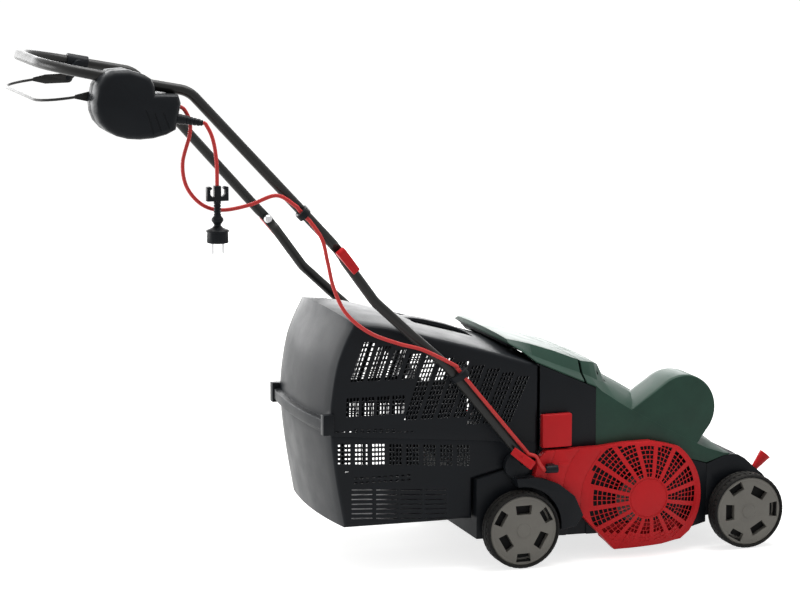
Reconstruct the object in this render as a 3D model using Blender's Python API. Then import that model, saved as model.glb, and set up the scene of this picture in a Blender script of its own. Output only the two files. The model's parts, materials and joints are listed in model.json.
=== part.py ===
"""Electric lawn scarifier with a clip-on catcher, a folding handle and a mains lead.

Metres, +Z up, +X towards the front wheels. The right-hand side is -Y. The origin is on the ground under
the middle of the machine. Points written as (x, z) are measured from the rear axle, which stands at
REAR_AXLE_X, so that the whole machine can be moved along X by one value.
"""

import math

import bmesh
import bpy
from mathutils import Matrix, Vector

# Overall places
REAR_AXLE_X = 0.18
WHEELBASE = 0.463
DECK_HALF = 0.190
GAP = 0.0003
WALL = 0.003
THROUGH = 0.3
SIDES = (("right", -1), ("left", 1))

# Wheels and axles
WHEEL_RADIUS = 0.0725
WHEEL_WIDTH = 0.036
WHEEL_OUTER_Y = DECK_HALF + 0.045
RIM_RADIUS = WHEEL_RADIUS - 0.0145
HUB_FACE_RADIUS = WHEEL_RADIUS - 0.0065
ARCH_RADIUS = WHEEL_RADIUS + 0.008
HUB_FACE_DEPTH = 0.006
HUB_BOSS_RADIUS = 0.014
AXLE_RADIUS = 0.006
POCKET_DEPTH = 0.005

# Chassis
DECK_WALL = 0.004
DECK_TOP = 0.2115
SEAM_X = 0.161
OUTLET_X = 0.048
CUTTER_AXIS = (0.253, 0.100)
BEARING_RADIUS = 0.016
BEARING_WIDTH = 0.010
CUTTER_SHAFT_RADIUS = 0.009
BLADE_RADIUS = 0.086
BLADE_ROOT_RADIUS = 0.015
BLADE_THICKNESS = 0.002
BLADE_COUNT = 14
BELT_WALL_Y = DECK_HALF - 0.030
COVER_DEPTH = 0.017
VENT_CENTRE = (0.253, 0.109)
VENT_RADIUS = 0.112
COVER_RADIUS = 0.120
VENT_DISC_RADIUS = 0.040
VENT_RISE = 0.0245
VENT_SECTORS = 16

# Motor and belt
MOTOR_AXIS = (0.343, 0.272)
MOTOR_CAN_RADIUS = 0.052
MOTOR_CORE_RADIUS = 0.036
MOTOR_OUTER_Y = DECK_HALF - 0.026
MOTOR_INNER_Y = DECK_HALF - 0.084
MOTOR_SHAFT_RADIUS = 0.005
MOTOR_PULLEY_RADIUS = 0.014
CUTTER_PULLEY_RADIUS = 0.042
PULLEY_Y = DECK_HALF - 0.014
PULLEY_HALF_WIDTH = 0.006
PULLEY_FLANGE = 0.0015
BELT_THICKNESS = 0.003
BULGE_RADIUS = 0.066
BULGE_INNER_Y = DECK_HALF - 0.105
BULGE_MIDDLE_Y = DECK_HALF - 0.070

# Front axle height setting
CRANK_LENGTH = 0.055
CRANK_REST_ANGLE = math.radians(-45)
CRANK_TRAVEL = 30
CRANK_SHAFT_RADIUS = 0.007
CRANK_ARM_Y = DECK_HALF - 0.040
LEVER_Y = DECK_HALF - 0.020

# Rear flap
FLAP_HINGE = (0.150, 0.355)
FLAP_FRONT_X = 0.137
FLAP_GAP = 0.0055
FLAP_PIN_RADIUS = 0.0025

# Catcher
CATCHER_HALF = DECK_HALF - 0.0005
CATCHER_WALL = 0.003
CATCHER_REAR_BULGE = 0.022
CATCHER_CROWN = 0.012
CATCHER_REAR_X = -0.3526
CATCHER_REAR_SHARE = 0.855
CATCHER_SPLIT_Z = 0.2585
CATCHER_SPLIT_SLOPE = -0.05
MOUTH_X = 0.045
SLOT_HALF_WIDTH = 0.004
SLOT_LEAN = 0.36

# Handle
TUBE_RADIUS = 0.0095
HANDLE_PIVOT = (0.011, 0.200)
CLAMP = (-0.357, 0.615)
LOWER_TUBE_Y = DECK_HALF + 0.0285
UPPER_TUBE_Y = LOWER_TUBE_Y + 0.015
TUBE_SETBACK = 0.022
TONGUE_THICKNESS = 0.005
TONGUE_INNER_Y = LOWER_TUBE_Y + 0.002
TONGUE_HALF_WIDTH = 0.0088
BOLT_RADIUS = 0.004
GRIP_Y = DECK_HALF + 0.012
GRIP_BEND = (-0.6252, 0.9107)
CROSSBAR = (-0.867, 0.958)
CROSSBAR_CORNER = 0.130

# Switch box and bail
BOX_OUTER_Y = GRIP_Y + 0.046
BOX_INNER_Y = GRIP_Y - 0.024
BOX_CORNER_HIGH = (-0.6500, 0.8937)
BOX_CORNER_LOW = (-0.6596, 0.8477)
BAIL_AXIS = (-0.757, 0.905)
BAIL_Y = BOX_INNER_Y - 0.0045
BAIL_THICKNESS = 0.006
BAIL_WIRE_RADIUS = 0.0025
BUTTON = (-0.715, 0.880)
BUTTON_RADIUS = 0.009
BUTTON_TRAVEL = 0.005

# Leads
LEAD_RADIUS = 0.0035
LEAD_STANDOFF = 0.0145
PLUG_Y = BOX_OUTER_Y - 0.008
PLUG_X = -0.5865

CRANK_AXIS = (
    WHEELBASE - CRANK_LENGTH * math.cos(CRANK_REST_ANGLE),
    WHEEL_RADIUS - CRANK_LENGTH * math.sin(CRANK_REST_ANGLE),
)
TONGUE_OUTER_Y = TONGUE_INNER_Y + TONGUE_THICKNESS

COLOURS = {
    "black_plastic": ((0.022, 0.023, 0.025, 1), 0.55, 0.0),
    "green_plastic": ((0.025, 0.055, 0.040, 1), 0.45, 0.0),
    "red_plastic": ((0.45, 0.018, 0.020, 1), 0.45, 0.0),
    "grey_plastic": ((0.14, 0.135, 0.12, 1), 0.55, 0.0),
    "rubber": ((0.015, 0.015, 0.016, 1), 0.85, 0.0),
    "black_steel": ((0.020, 0.020, 0.021, 1), 0.40, 0.6),
    "bright_steel": ((0.55, 0.55, 0.56, 1), 0.30, 1.0),
    "red_lead": ((0.42, 0.020, 0.018, 1), 0.50, 0.0),
    "motor_iron": ((0.25, 0.26, 0.27, 1), 0.45, 0.9),
}

MATERIALS = {}
BODIES = {}


def clear_scene():
    for obj in list(bpy.data.objects):
        bpy.data.objects.remove(obj, do_unlink=True)


def make_materials():
    for name, (colour, roughness, metallic) in COLOURS.items():
        material = bpy.data.materials.new(name)
        material.use_nodes = True
        shader = material.node_tree.nodes["Principled BSDF"]
        shader.inputs["Base Color"].default_value = colour
        shader.inputs["Roughness"].default_value = roughness
        shader.inputs["Metallic"].default_value = metallic
        MATERIALS[name] = material


def make_body(name, x=0.0, y=0.0, z=0.0):
    """An empty on the body's joint axis; the body's pieces are its children."""
    empty = bpy.data.objects.new(name + "_body", None)
    empty.location = (REAR_AXLE_X + x, y, z)
    bpy.context.scene.collection.objects.link(empty)
    BODIES[name] = empty


# Shapes: each function gives (points, faces)


def loft(rings):
    """A closed skin through rings of equal count, with flat ends."""
    count = len(rings[0])
    points = [point for ring in rings for point in ring]
    faces = [tuple(range(count)), tuple(range(len(points) - 1, len(points) - count - 1, -1))]
    for level in range(len(rings) - 1):
        base = level * count
        for i in range(count):
            j = (i + 1) % count
            faces.append((base + i, base + count + i, base + count + j, base + j))
    return points, faces


def prism(outline, y0, y1):
    return loft([[(x, y, z) for x, z in outline] for y in (y0, y1)])


def box(x0, x1, y0, y1, z0, z1):
    return prism([(x0, z0), (x1, z0), (x1, z1), (x0, z1)], y0, y1)


def lathe(profile, centre=(0.0, 0.0), segments=28, closed=False):
    """Turns (radius, y) points about a line along Y; a closed profile keeps a bore."""
    points, rings = [], []
    for radius, y in profile:
        if radius == 0:
            rings.append([len(points)])
            points.append((centre[0], y, centre[1]))
            continue
        rings.append(list(range(len(points), len(points) + segments)))
        for i in range(segments):
            angle = 2 * math.pi * i / segments
            points.append((centre[0] + radius * math.cos(angle), y, centre[1] + radius * math.sin(angle)))
    faces = []
    pairs = list(zip(rings, rings[1:]))
    if closed:
        pairs.append((rings[-1], rings[0]))
    for low, high in pairs:
        for i in range(segments):
            j = (i + 1) % segments
            face = [low[i % len(low)], low[j % len(low)], high[j % len(high)], high[i % len(high)]]
            faces.append(tuple(dict.fromkeys(face)))
    return points, faces


def cylinder(centre, radius, y0, y1, segments=24):
    return lathe([(0, y0), (radius, y0), (radius, y1), (0, y1)], centre, segments)


def merged(*shapes):
    """Several shapes in one mesh, for a cutter."""
    points, faces = [], []
    for more_points, more_faces in shapes:
        base = len(points)
        points += more_points
        faces += [tuple(i + base for i in face) for face in more_faces]
    return points, faces


def placed(shape, matrix):
    points, faces = shape
    return [tuple(matrix @ Vector(point)) for point in points], faces


def aimed(shape, origin, direction):
    """A shape made along +Y from the origin, turned to point along direction."""
    turn = Vector((0, 1, 0)).rotation_difference(Vector(direction)).to_matrix().to_4x4()
    return placed(shape, Matrix.Translation(origin) @ turn)


def arc(centre, radius, start, end, steps):
    """Points on an arc in the XZ plane, angles in degrees."""
    angles = [math.radians(start + (end - start) * i / steps) for i in range(steps + 1)]
    return [(centre[0] + radius * math.cos(a), centre[1] + radius * math.sin(a)) for a in angles]


def capsule(start, end, radius, steps=6):
    """The outline of a bar with round ends between two (x, z) points."""
    angle = math.degrees(math.atan2(end[1] - start[1], end[0] - start[0]))
    return arc(end, radius, angle - 90, angle + 90, steps) + arc(start, radius, angle + 90, angle + 270, steps)


def inset(outline, distance):
    """The outline moved inwards by a distance, for either direction of travel."""
    area = sum(a[0] * b[1] - b[0] * a[1] for a, b in zip(outline, outline[1:] + outline[:1]))
    turn = 1 if area > 0 else -1
    moved = []
    for i, here in enumerate(outline):
        before = Vector(here) - Vector(outline[i - 1])
        after = Vector(outline[(i + 1) % len(outline)]) - Vector(here)
        n1 = turn * Vector((-before.y, before.x)).normalized()
        n2 = turn * Vector((-after.y, after.x)).normalized()
        both = (n1 + n2).normalized()
        point = Vector(here) + both * distance / max(both.dot(n1), 0.35)
        moved.append((point.x, point.y))
    return moved


def reach(outline, centre, angle):
    """How far a ray from the centre goes before it meets the outline."""
    direction = Vector((math.cos(angle), math.sin(angle)))
    best = 1.0
    for a, b in zip(outline, outline[1:] + outline[:1]):
        start, edge = Vector(a) - Vector(centre), Vector(b) - Vector(a)
        cross = direction.x * edge.y - direction.y * edge.x
        if abs(cross) < 1e-12:
            continue
        along = (start.x * edge.y - start.y * edge.x) / cross
        share = (start.x * direction.y - start.y * direction.x) / cross
        if along > 0 and 0 <= share <= 1:
            best = min(best, along)
    return best


def rounded(corners, radii, steps=6):
    """A path through 3-D corners with each inner corner turned on its radius."""
    path = [Vector(corners[0])]
    for i in range(1, len(corners) - 1):
        here = Vector(corners[i])
        back = (Vector(corners[i - 1]) - here).normalized()
        ahead = (Vector(corners[i + 1]) - here).normalized()
        half = back.angle(ahead) / 2
        trim = radii[i - 1] / math.tan(half)
        centre = here + (back + ahead).normalized() * radii[i - 1] / math.sin(half)
        first, last = here + back * trim - centre, here + ahead * trim - centre
        turn = first.angle(last)
        for k in range(steps + 1):
            share = k / steps
            spoke = first * math.sin((1 - share) * turn) + last * math.sin(share * turn)
            path.append(centre + spoke / math.sin(turn))
    path.append(Vector(corners[-1]))
    return path


def sweep(path, radius, sides=12):
    """A round bar along a path of vectors, with flat ends."""
    rings, side = [], None
    for i, here in enumerate(path):
        ahead = (path[min(i + 1, len(path) - 1)] - path[max(i - 1, 0)]).normalized()
        if side is None:
            side = ahead.orthogonal().normalized()
        side = (side - ahead * side.dot(ahead)).normalized()
        up = ahead.cross(side)
        angles = [2 * math.pi * k / sides for k in range(sides)]
        rings.append([tuple(here + radius * (side * math.cos(a) + up * math.sin(a))) for a in angles])
    return loft(rings)


def straight_end(point, direction, length):
    """Three points in line: the end of a route, then two along its direction."""
    step = Vector(direction).normalized() * length
    return [tuple(Vector(point)), tuple(Vector(point) + step * 0.5), tuple(Vector(point) + step)]


def smooth_route(points, spacing):
    """Even points on a smooth curve through the route's own points."""
    ends = [2 * Vector(points[0]) - Vector(points[1])], [2 * Vector(points[-1]) - Vector(points[-2])]
    p = ends[0] + [Vector(q) for q in points] + ends[1]
    fine = []
    for i in range(1, len(p) - 2):
        for k in range(20):
            t = k / 20
            fine.append(
                0.5
                * (
                    2 * p[i]
                    + (p[i + 1] - p[i - 1]) * t
                    + (2 * p[i - 1] - 5 * p[i] + 4 * p[i + 1] - p[i + 2]) * t**2
                    + (3 * p[i] - p[i - 1] - 3 * p[i + 1] + p[i + 2]) * t**3
                )
            )
    fine.append(p[-2])
    length = sum((b - a).length for a, b in zip(fine, fine[1:]))
    count = max(3, round(length / spacing))
    even, walked, target = [fine[0]], 0.0, length / count
    for a, b in zip(fine, fine[1:]):
        step = (b - a).length
        while walked + step >= target and len(even) < count:
            even.append(a.lerp(b, (target - walked) / step))
            target += length / count
        walked += step
    cap = 0.6 * LEAD_RADIUS
    first = fine[0] + (p[2] - p[1]).normalized() * cap
    last = fine[-1] - (p[-2] - p[-3]).normalized() * cap
    return [fine[0], first] + even[1:] + [last, fine[-1]]


# Objects


def add_object(name, shape, body):
    points, faces = shape
    pivot = BODIES[body].location
    mesh = bpy.data.meshes.new(name)
    mesh.from_pydata([Vector((x + REAR_AXLE_X, y, z)) - pivot for x, y, z in points], [], faces)
    work = bmesh.new()
    work.from_mesh(mesh)
    bmesh.ops.recalc_face_normals(work, faces=work.faces)
    work.to_mesh(mesh)
    work.free()
    obj = bpy.data.objects.new(name, mesh)
    obj.parent = BODIES[body]
    bpy.context.scene.collection.objects.link(obj)
    return obj


def combine(obj, operation, helper):
    modifier = obj.modifiers.new(operation.lower(), "BOOLEAN")
    modifier.operation = operation
    modifier.solver = "EXACT"
    modifier.object = helper


def add_helper(name, shape, body, *steps):
    helper = add_object(name, shape, body)
    helper.hide_render = True
    helper.display_type = "WIRE"
    apply_steps(helper, body, steps)
    return helper


def apply_steps(obj, body, steps):
    """Each step is (operation, shape) or (operation, helper object)."""
    for number, (operation, other) in enumerate(steps):
        if isinstance(other, tuple):
            other = add_helper(f"{obj.name}_tool{number}", other, body)
        combine(obj, operation, other)


def add_piece(name, shape, material, body, *steps):
    obj = add_object(name, shape, body)
    obj.data.materials.append(MATERIALS[material])
    obj.data.shade_smooth()
    obj.data.set_sharp_from_angle(angle=math.radians(35))
    apply_steps(obj, body, steps)
    return obj


def add_cord(name, route, body):
    """A plain round cord along hand-picked points."""
    points = smooth_route(route, 5 * LEAD_RADIUS)
    curve = bpy.data.curves.new(name, "CURVE")
    curve.dimensions = "3D"
    curve.bevel_depth = LEAD_RADIUS
    curve.bevel_resolution = 2
    curve.use_fill_caps = True
    spline = curve.splines.new("POLY")
    spline.points.add(len(points) - 1)
    pivot = BODIES[body].location
    for target, point in zip(spline.points, points):
        target.co = (*(point + Vector((REAR_AXLE_X, 0, 0)) - pivot), 1)
    curve.materials.append(MATERIALS["red_lead"])
    obj = bpy.data.objects.new(name, curve)
    obj.parent = BODIES[body]
    bpy.context.scene.collection.objects.link(obj)
    return obj


# Profiles shared by neighbouring pieces


def seam_z(x):
    """The line where the flap and the hood's edge meet the black side housing."""
    return 0.3810 - 0.450 * (x - 0.039)


def ledge_z(x):
    """The sloping top of the deck that the catcher's floor sits on."""
    return 0.1855 + 0.2474 * x


def deck_top_outline():
    return [
        (OUTLET_X, ledge_z(OUTLET_X)),
        (OUTLET_X, DECK_TOP),
        (0.270, DECK_TOP),
        (0.300, 0.205),
        (0.350, 0.176),
        (0.392, 0.162),
    ]


def round_wheel(*places):
    """Points behind the rear wheel's arch, each from its angle and its distance from the arch."""
    return [arc((0.0, WHEEL_RADIUS), ARCH_RADIUS + out, angle, angle, 1)[0] for angle, out in places]


def cover_outline():
    """The side covers' outline; the lower rear edge follows the wheel arch."""
    rear = round_wheel((73.1, 0.0225), (62.6, 0.0259), (45.5, 0.0336), (27.6, 0.0436), (8.66, 0.0490))
    bottom = [(0.195, 0.014), (0.291, 0.018), (0.332, 0.024)]
    front = arc(VENT_CENTRE, COVER_RADIUS, -36, 52, 9)
    top = [(0.300, 0.2115), (0.267, 0.219), (0.215, 0.219), (0.164, 0.215), (0.055, 0.215), (0.040, 0.200)]
    return rear + bottom + front + top


def belt_outline(extra):
    """The hull of both pulleys, grown by extra."""
    big, small = CUTTER_PULLEY_RADIUS + extra, MOTOR_PULLEY_RADIUS + extra
    dx, dz = MOTOR_AXIS[0] - CUTTER_AXIS[0], MOTOR_AXIS[1] - CUTTER_AXIS[1]
    heading = math.degrees(math.atan2(dz, dx))
    lean = math.degrees(math.acos((big - small) / math.hypot(dx, dz)))
    return arc(CUTTER_AXIS, big, heading + lean, heading + 360 - lean, 16) + arc(
        MOTOR_AXIS, small, heading - lean, heading + lean, 8
    )


# Running gear


def wheel_pockets(axis, sign, first_angle):
    """Three tall pockets near the rim and three wide ones nearer the hub, turn about."""
    shapes = []
    y0 = sign * (WHEEL_OUTER_Y - POCKET_DEPTH - HUB_FACE_DEPTH / 2)
    y1 = sign * (WHEEL_OUTER_Y + 0.005)
    for k in range(6):
        angle = math.radians(first_angle + 60 * k)
        depth, half_r, half_w = (0.030, 0.007, 0.0135) if k % 2 == 0 else (0.0125, 0.0065, 0.0115)
        out, across = Vector((math.cos(angle), math.sin(angle))), Vector((-math.sin(angle), math.cos(angle)))
        corners = [(-half_r, -half_w), (half_r, -half_w), (half_r, half_w), (-half_r, half_w)]
        middle = Vector(axis) + out * (HUB_FACE_RADIUS - depth)
        outline = [tuple(middle + out * a + across * b) for a, b in corners]
        shapes.append(prism(outline, min(y0, y1), max(y0, y1)))
    return merged(*shapes)


def add_wheel(place, side, sign, axis, first_angle):
    body = f"{place}_wheel_{side}"
    make_body(body, axis[0], 0.0, axis[1])
    outer, inner = WHEEL_OUTER_Y, WHEEL_OUTER_Y - WHEEL_WIDTH
    face = outer - HUB_FACE_DEPTH
    tyre = [
        (RIM_RADIUS + GAP, inner),
        (WHEEL_RADIUS - 0.003, inner),
        (WHEEL_RADIUS, inner + 0.004),
        (WHEEL_RADIUS, outer - 0.004),
        (WHEEL_RADIUS - 0.0025, outer),
        (HUB_FACE_RADIUS + GAP, outer),
        (HUB_FACE_RADIUS + GAP, face - GAP),
        (RIM_RADIUS + GAP, face - GAP),
    ]
    hub = [
        (0, outer),
        (HUB_FACE_RADIUS - 0.021, outer - 0.0008),
        (HUB_FACE_RADIUS, outer - 0.0030),
        (HUB_FACE_RADIUS, face),
        (RIM_RADIUS, face),
        (RIM_RADIUS, inner + 0.0015),
        (RIM_RADIUS - 0.0035, inner + 0.0015),
        (RIM_RADIUS - 0.0035, outer - 0.0115),
        (HUB_BOSS_RADIUS, outer - 0.0115),
        (HUB_BOSS_RADIUS, inner - 0.0025),
        (AXLE_RADIUS + GAP, inner - 0.0025),
        (AXLE_RADIUS + GAP, outer - 0.0075),
        (0, outer - 0.0075),
    ]
    flipped = [[(r, sign * y) for r, y in profile] for profile in (tyre, hub)]
    add_piece(f"{place}_tyre_{side}", lathe(flipped[0], axis, 28, closed=True), "rubber", body)
    add_piece(
        f"{place}_hub_{side}",
        lathe(flipped[1], axis, 28),
        "grey_plastic",
        body,
        ("DIFFERENCE", wheel_pockets(axis, sign, first_angle)),
    )


def add_running_gear():
    end = WHEEL_OUTER_Y - 0.0085
    rear, front = (0.0, WHEEL_RADIUS), (WHEELBASE, WHEEL_RADIUS)
    add_piece("rear_axle", cylinder(rear, AXLE_RADIUS, -end, end, 16), "bright_steel", "chassis")
    arms = merged(
        *(
            prism(capsule(CRANK_AXIS, front, 0.0095), *sorted((s * CRANK_ARM_Y, s * (CRANK_ARM_Y + 0.008))))
            for _, s in SIDES
        )
    )
    half = DECK_HALF - 0.001
    add_piece(
        "front_crank",
        cylinder(front, AXLE_RADIUS, -end, end, 16),
        "bright_steel",
        "front_crank",
        ("UNION", arms),
        ("UNION", cylinder(CRANK_AXIS, CRANK_SHAFT_RADIUS, -half, half, 16)),
    )
    for side, sign in SIDES:
        add_wheel("rear", side, sign, rear, 90)
        add_wheel("front", side, sign, front, 60)


def add_depth_lever():
    """Clamped on the crank shaft; it leaves the housing through a slot."""
    base, tip = (0.501, 0.139), (0.526, 0.167)
    y0, y1 = -LEVER_Y - 0.004, -LEVER_Y + 0.004
    direction = Vector((tip[0] - base[0], 0, tip[1] - base[1]))
    grip_start = Vector((base[0], -LEVER_Y, base[1])) - direction.normalized() * 0.006
    length = direction.length + 0.006
    grip = [(0, 0), (0.006, 0), (0.0065, 0.012), (0.0125, length), (0, length)]
    add_piece(
        "depth_lever",
        prism(capsule(CRANK_AXIS, base, 0.0058), y0, y1),
        "red_plastic",
        "front_crank",
        ("UNION", cylinder(CRANK_AXIS, 0.0125, y0, y1, 20)),
        ("UNION", aimed(lathe(grip, segments=18), grip_start, direction)),
        ("DIFFERENCE", cylinder(CRANK_AXIS, CRANK_SHAFT_RADIUS + GAP, y0 - 0.01, y1 + 0.01, 16)),
    )


# Chassis shells


def add_deck():
    rear_face, front_face = -0.078, 0.392
    outline = [
        (rear_face, 0.053),
        (rear_face, ledge_z(rear_face)),
        *deck_top_outline(),
        (front_face, 0.048),
        (0.360, 0.040),
        (0.110, 0.045),
    ]
    low = -0.02
    chamber = [
        (0.150, low),
        (0.150, 0.085),
        (0.062, 0.1985),
        (0.062, DECK_TOP + 0.02),
        (0.152, DECK_TOP + 0.02),
        (0.1575, DECK_TOP - DECK_WALL),
        (0.262, DECK_TOP - DECK_WALL),
        (0.296, 0.201),
        (0.347, 0.172),
        (front_face - DECK_WALL, 0.1585),
        (front_face - DECK_WALL, low),
    ]
    belt_space = [chamber[0], chamber[1], (0.150, DECK_TOP - DECK_WALL), *chamber[6:]]
    rear_void = [
        (rear_face + DECK_WALL, low),
        (rear_face + DECK_WALL, ledge_z(rear_face) - DECK_WALL + 0.001),
        (0.044, ledge_z(0.044) - DECK_WALL),
        (0.061, ledge_z(0.044) - DECK_WALL),
        (0.1468, 0.0825),
        (0.146, low),
    ]
    inner = DECK_HALF - DECK_WALL
    wall_out, wall_in = -BELT_WALL_Y - DECK_WALL / 2, -BELT_WALL_Y + DECK_WALL / 2
    cradle = [(0.312, 0.190), (0.312, 0.232), (0.374, 0.232), (0.374, 0.160)]
    seat = BEARING_RADIUS + GAP
    holes = merged(
        cylinder((0, WHEEL_RADIUS), AXLE_RADIUS + GAP, -THROUGH, THROUGH, 16),
        cylinder(CUTTER_AXIS, seat, wall_out - 0.002, wall_in + 0.002),
        cylinder(CUTTER_AXIS, seat, inner - 0.002, DECK_HALF + 0.002),
        cylinder(VENT_CENTRE, 0.055, -DECK_HALF - 0.002, -inner + 0.002),
        cylinder(MOTOR_AXIS, MOTOR_CAN_RADIUS + GAP, -MOTOR_OUTER_Y - 0.001, -MOTOR_INNER_Y + 0.011, 28),
        box(0.232, 0.347, -PULLEY_Y - 0.0085, -PULLEY_Y + 0.0085, 0.150, 0.220),
    )
    add_piece(
        "deck",
        prism(outline, -DECK_HALF, DECK_HALF),
        "black_plastic",
        "chassis",
        ("DIFFERENCE", prism(chamber, wall_in, inner)),
        ("DIFFERENCE", prism(belt_space, -inner, wall_out)),
        ("DIFFERENCE", prism(rear_void, -inner, inner)),
        ("UNION", prism(cradle, -MOTOR_OUTER_Y + 0.012, -MOTOR_INNER_Y - 0.010)),
        ("DIFFERENCE", holes),
    )


def add_wheel_arches():
    """Outboard mudguards ahead of the rear wheels, one with each handle bracket."""
    outline = arc((0.0, WHEEL_RADIUS), ARCH_RADIUS, 95, -5, 10)
    outline += round_wheel((-1.3, 0.0295), (8.0, 0.0452), (27.1, 0.0403), (45.4, 0.0305), (62.4, 0.0233))
    outline += round_wheel((74.9, 0.0194), (95.9, 0.0175))
    x, z = -0.001, 0.190
    for side, sign in SIDES:
        inner, plate, boss = DECK_HALF + GAP, DECK_HALF + 0.0135, TONGUE_INNER_Y - GAP
        ends = ((inner, DECK_HALF + 0.032), (inner, plate), (plate - 0.002, boss))
        spans = [tuple(sorted((sign * a, sign * b))) for a, b in ends]
        pin = tuple(sorted((sign * (boss - 0.002), sign * TONGUE_OUTER_Y)))
        add_piece(
            f"handle_bracket_{side}",
            prism(outline, *spans[0]),
            "black_plastic",
            "chassis",
            ("UNION", cylinder((x, z), 0.0255, *spans[1])),
            ("UNION", cylinder(HANDLE_PIVOT, 0.0095, *spans[2], 20)),
            ("UNION", cylinder(HANDLE_PIVOT, BOLT_RADIUS, *pin, 16)),
        )


def add_axle_housing():
    outer = [
        (0.3925, 0.060),
        (0.3925, 0.1618),
        (0.415, 0.1700),
        (0.430, 0.1755),
        (0.447, 0.1765),
        (0.460, 0.1745),
        (0.474, 0.1660),
        (0.494, 0.1475),
        (0.5105, 0.1340),
        (0.524, 0.1180),
        (0.533, 0.1000),
        (0.531, 0.0780),
    ]
    inner = inset(outer, WALL)
    inner[0] = (inner[0][0], 0.040)
    inner[-1] = (inner[-1][0], 0.040)
    swing = math.degrees(CRANK_REST_ANGLE)
    slot_start, slot_end = swing - 9, swing + CRANK_TRAVEL + 9
    near, far = CRANK_LENGTH - AXLE_RADIUS - 0.0012, CRANK_LENGTH + AXLE_RADIUS + 0.0012
    slot = arc(CRANK_AXIS, near, slot_start, slot_end, 6) + arc(CRANK_AXIS, far, slot_end, slot_start, 6)
    lever_slot = arc(CRANK_AXIS, 0.045, 8, 64, 5) + arc(CRANK_AXIS, 0.13, 64, 8, 5)
    wall = DECK_HALF - WALL
    add_piece(
        "axle_housing",
        prism(outer, -DECK_HALF, DECK_HALF),
        "black_plastic",
        "chassis",
        ("DIFFERENCE", prism(inner, -wall, wall)),
        ("DIFFERENCE", cylinder(CRANK_AXIS, CRANK_SHAFT_RADIUS + GAP, -THROUGH, THROUGH, 16)),
        ("DIFFERENCE", prism(slot, -THROUGH, THROUGH)),
        ("DIFFERENCE", prism(lever_slot, -LEVER_Y - 0.0145, -LEVER_Y + 0.0145)),
    )


def add_rear_housing():
    """The hood's black rear part: the way from the cutter to the catcher."""
    x0, x1 = OUTLET_X, SEAM_X
    bottom = DECK_TOP + 2 * GAP
    top0, top1 = seam_z(x0) - 0.001, seam_z(x1) - 0.001
    outer = [(x0, bottom), (x1, bottom), (x1, top1), (x0, top0)]
    inner = [(x0 - 0.02, 0.15), (x1 - WALL, 0.15), (x1 - WALL, top1 - WALL), (x0 - 0.02, top0 - WALL + 0.009)]
    half = DECK_HALF - WALL
    hinge_x, hinge_z = FLAP_HINGE
    ears = merged(
        *(
            prism(
                [(hinge_x - 0.007, 0.3270), (hinge_x + 0.007, 0.3240), (hinge_x + 0.005, hinge_z + 0.0055)]
                + [(hinge_x - 0.005, hinge_z + 0.0055)],
                *sorted((s * 0.104, s * 0.112)),
            )
            for _, s in SIDES
        )
    )
    add_piece(
        "rear_housing",
        prism(outer, -DECK_HALF, DECK_HALF),
        "black_plastic",
        "chassis",
        ("DIFFERENCE", prism(inner, -half, half)),
        ("UNION", ears),
        ("DIFFERENCE", cylinder(FLAP_HINGE, FLAP_PIN_RADIUS + GAP, -0.12, 0.12, 12)),
    )


def hood_ring(x, bottom, edge, shoulder, crown, cut):
    """One cross-section of the hood or flap, made smaller all round by cut."""
    half, ridge = DECK_HALF - cut, 0.120
    return [
        (x, -half, bottom),
        (x, -half, edge - cut * 0.4),
        (x, -ridge, shoulder - cut),
        (x, -0.045, shoulder + crown - cut),
        (x, 0.045, shoulder + crown - cut),
        (x, ridge, shoulder - cut),
        (x, half, edge - cut * 0.4),
        (x, half, bottom),
    ]


def hood_stations():
    """x, bottom, side edge, shoulder height, crown: from the crest down to the front axle housing."""
    clear = 2 * GAP
    start = FLAP_FRONT_X + FLAP_GAP
    return [
        (start, seam_z(start) + clear, seam_z(start) + 0.003, 0.3722, 0.004),
        (0.1612, seam_z(0.1612) + clear, seam_z(0.1612) + 0.003, 0.3675, 0.004),
        (SEAM_X + clear, DECK_TOP + clear, seam_z(SEAM_X) + 0.003, 0.3680, 0.004),
        (0.192, DECK_TOP + clear, 0.3060, 0.3570, 0.004),
        (0.206, DECK_TOP + clear, 0.2960, 0.3290, 0.010),
        (0.233, DECK_TOP + clear, 0.2790, 0.3130, 0.010),
        (0.270, DECK_TOP + clear, 0.2580, 0.2920, 0.010),
        (0.300, 0.2057, 0.2405, 0.2740, 0.010),
        (0.350, 0.1767, 0.2140, 0.2440, 0.010),
        (0.392, 0.1645, 0.1930, 0.2180, 0.009),
        (0.428, 0.1757, 0.1805, 0.1930, 0.007),
        (0.441, 0.1773, 0.1790, 0.1815, 0.002),
    ]


def bulge_outline(radius, lift):
    """The motor bulge seen from the side: a circle that runs out in straight lines to the hood's edge."""
    start, end = (0.235 + lift, 0.279 - lift * 0.8), (0.357 - lift, 0.1785 + lift)
    round_part = arc(MOTOR_AXIS, radius, 128, -42, 12)
    return [(0.245 + lift, 0.225), start] + round_part + [end, (0.300, 0.2120 + lift)]


def bulge(radius, lift, y_outer, y_mid, y_inner):
    outline = bulge_outline(radius, lift)
    rings = [(y_outer, 1.0), (y_mid, 1.0), ((y_mid + y_inner) / 2, 0.94), (y_inner, 0.72)]
    centre = Vector(MOTOR_AXIS)
    placed_rings = []
    for y, scale in rings:
        ring = [centre + (Vector(point) - centre) * scale for point in outline]
        placed_rings.append([(point.x, y, point.y) for point in ring])
    return loft(placed_rings)


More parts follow.
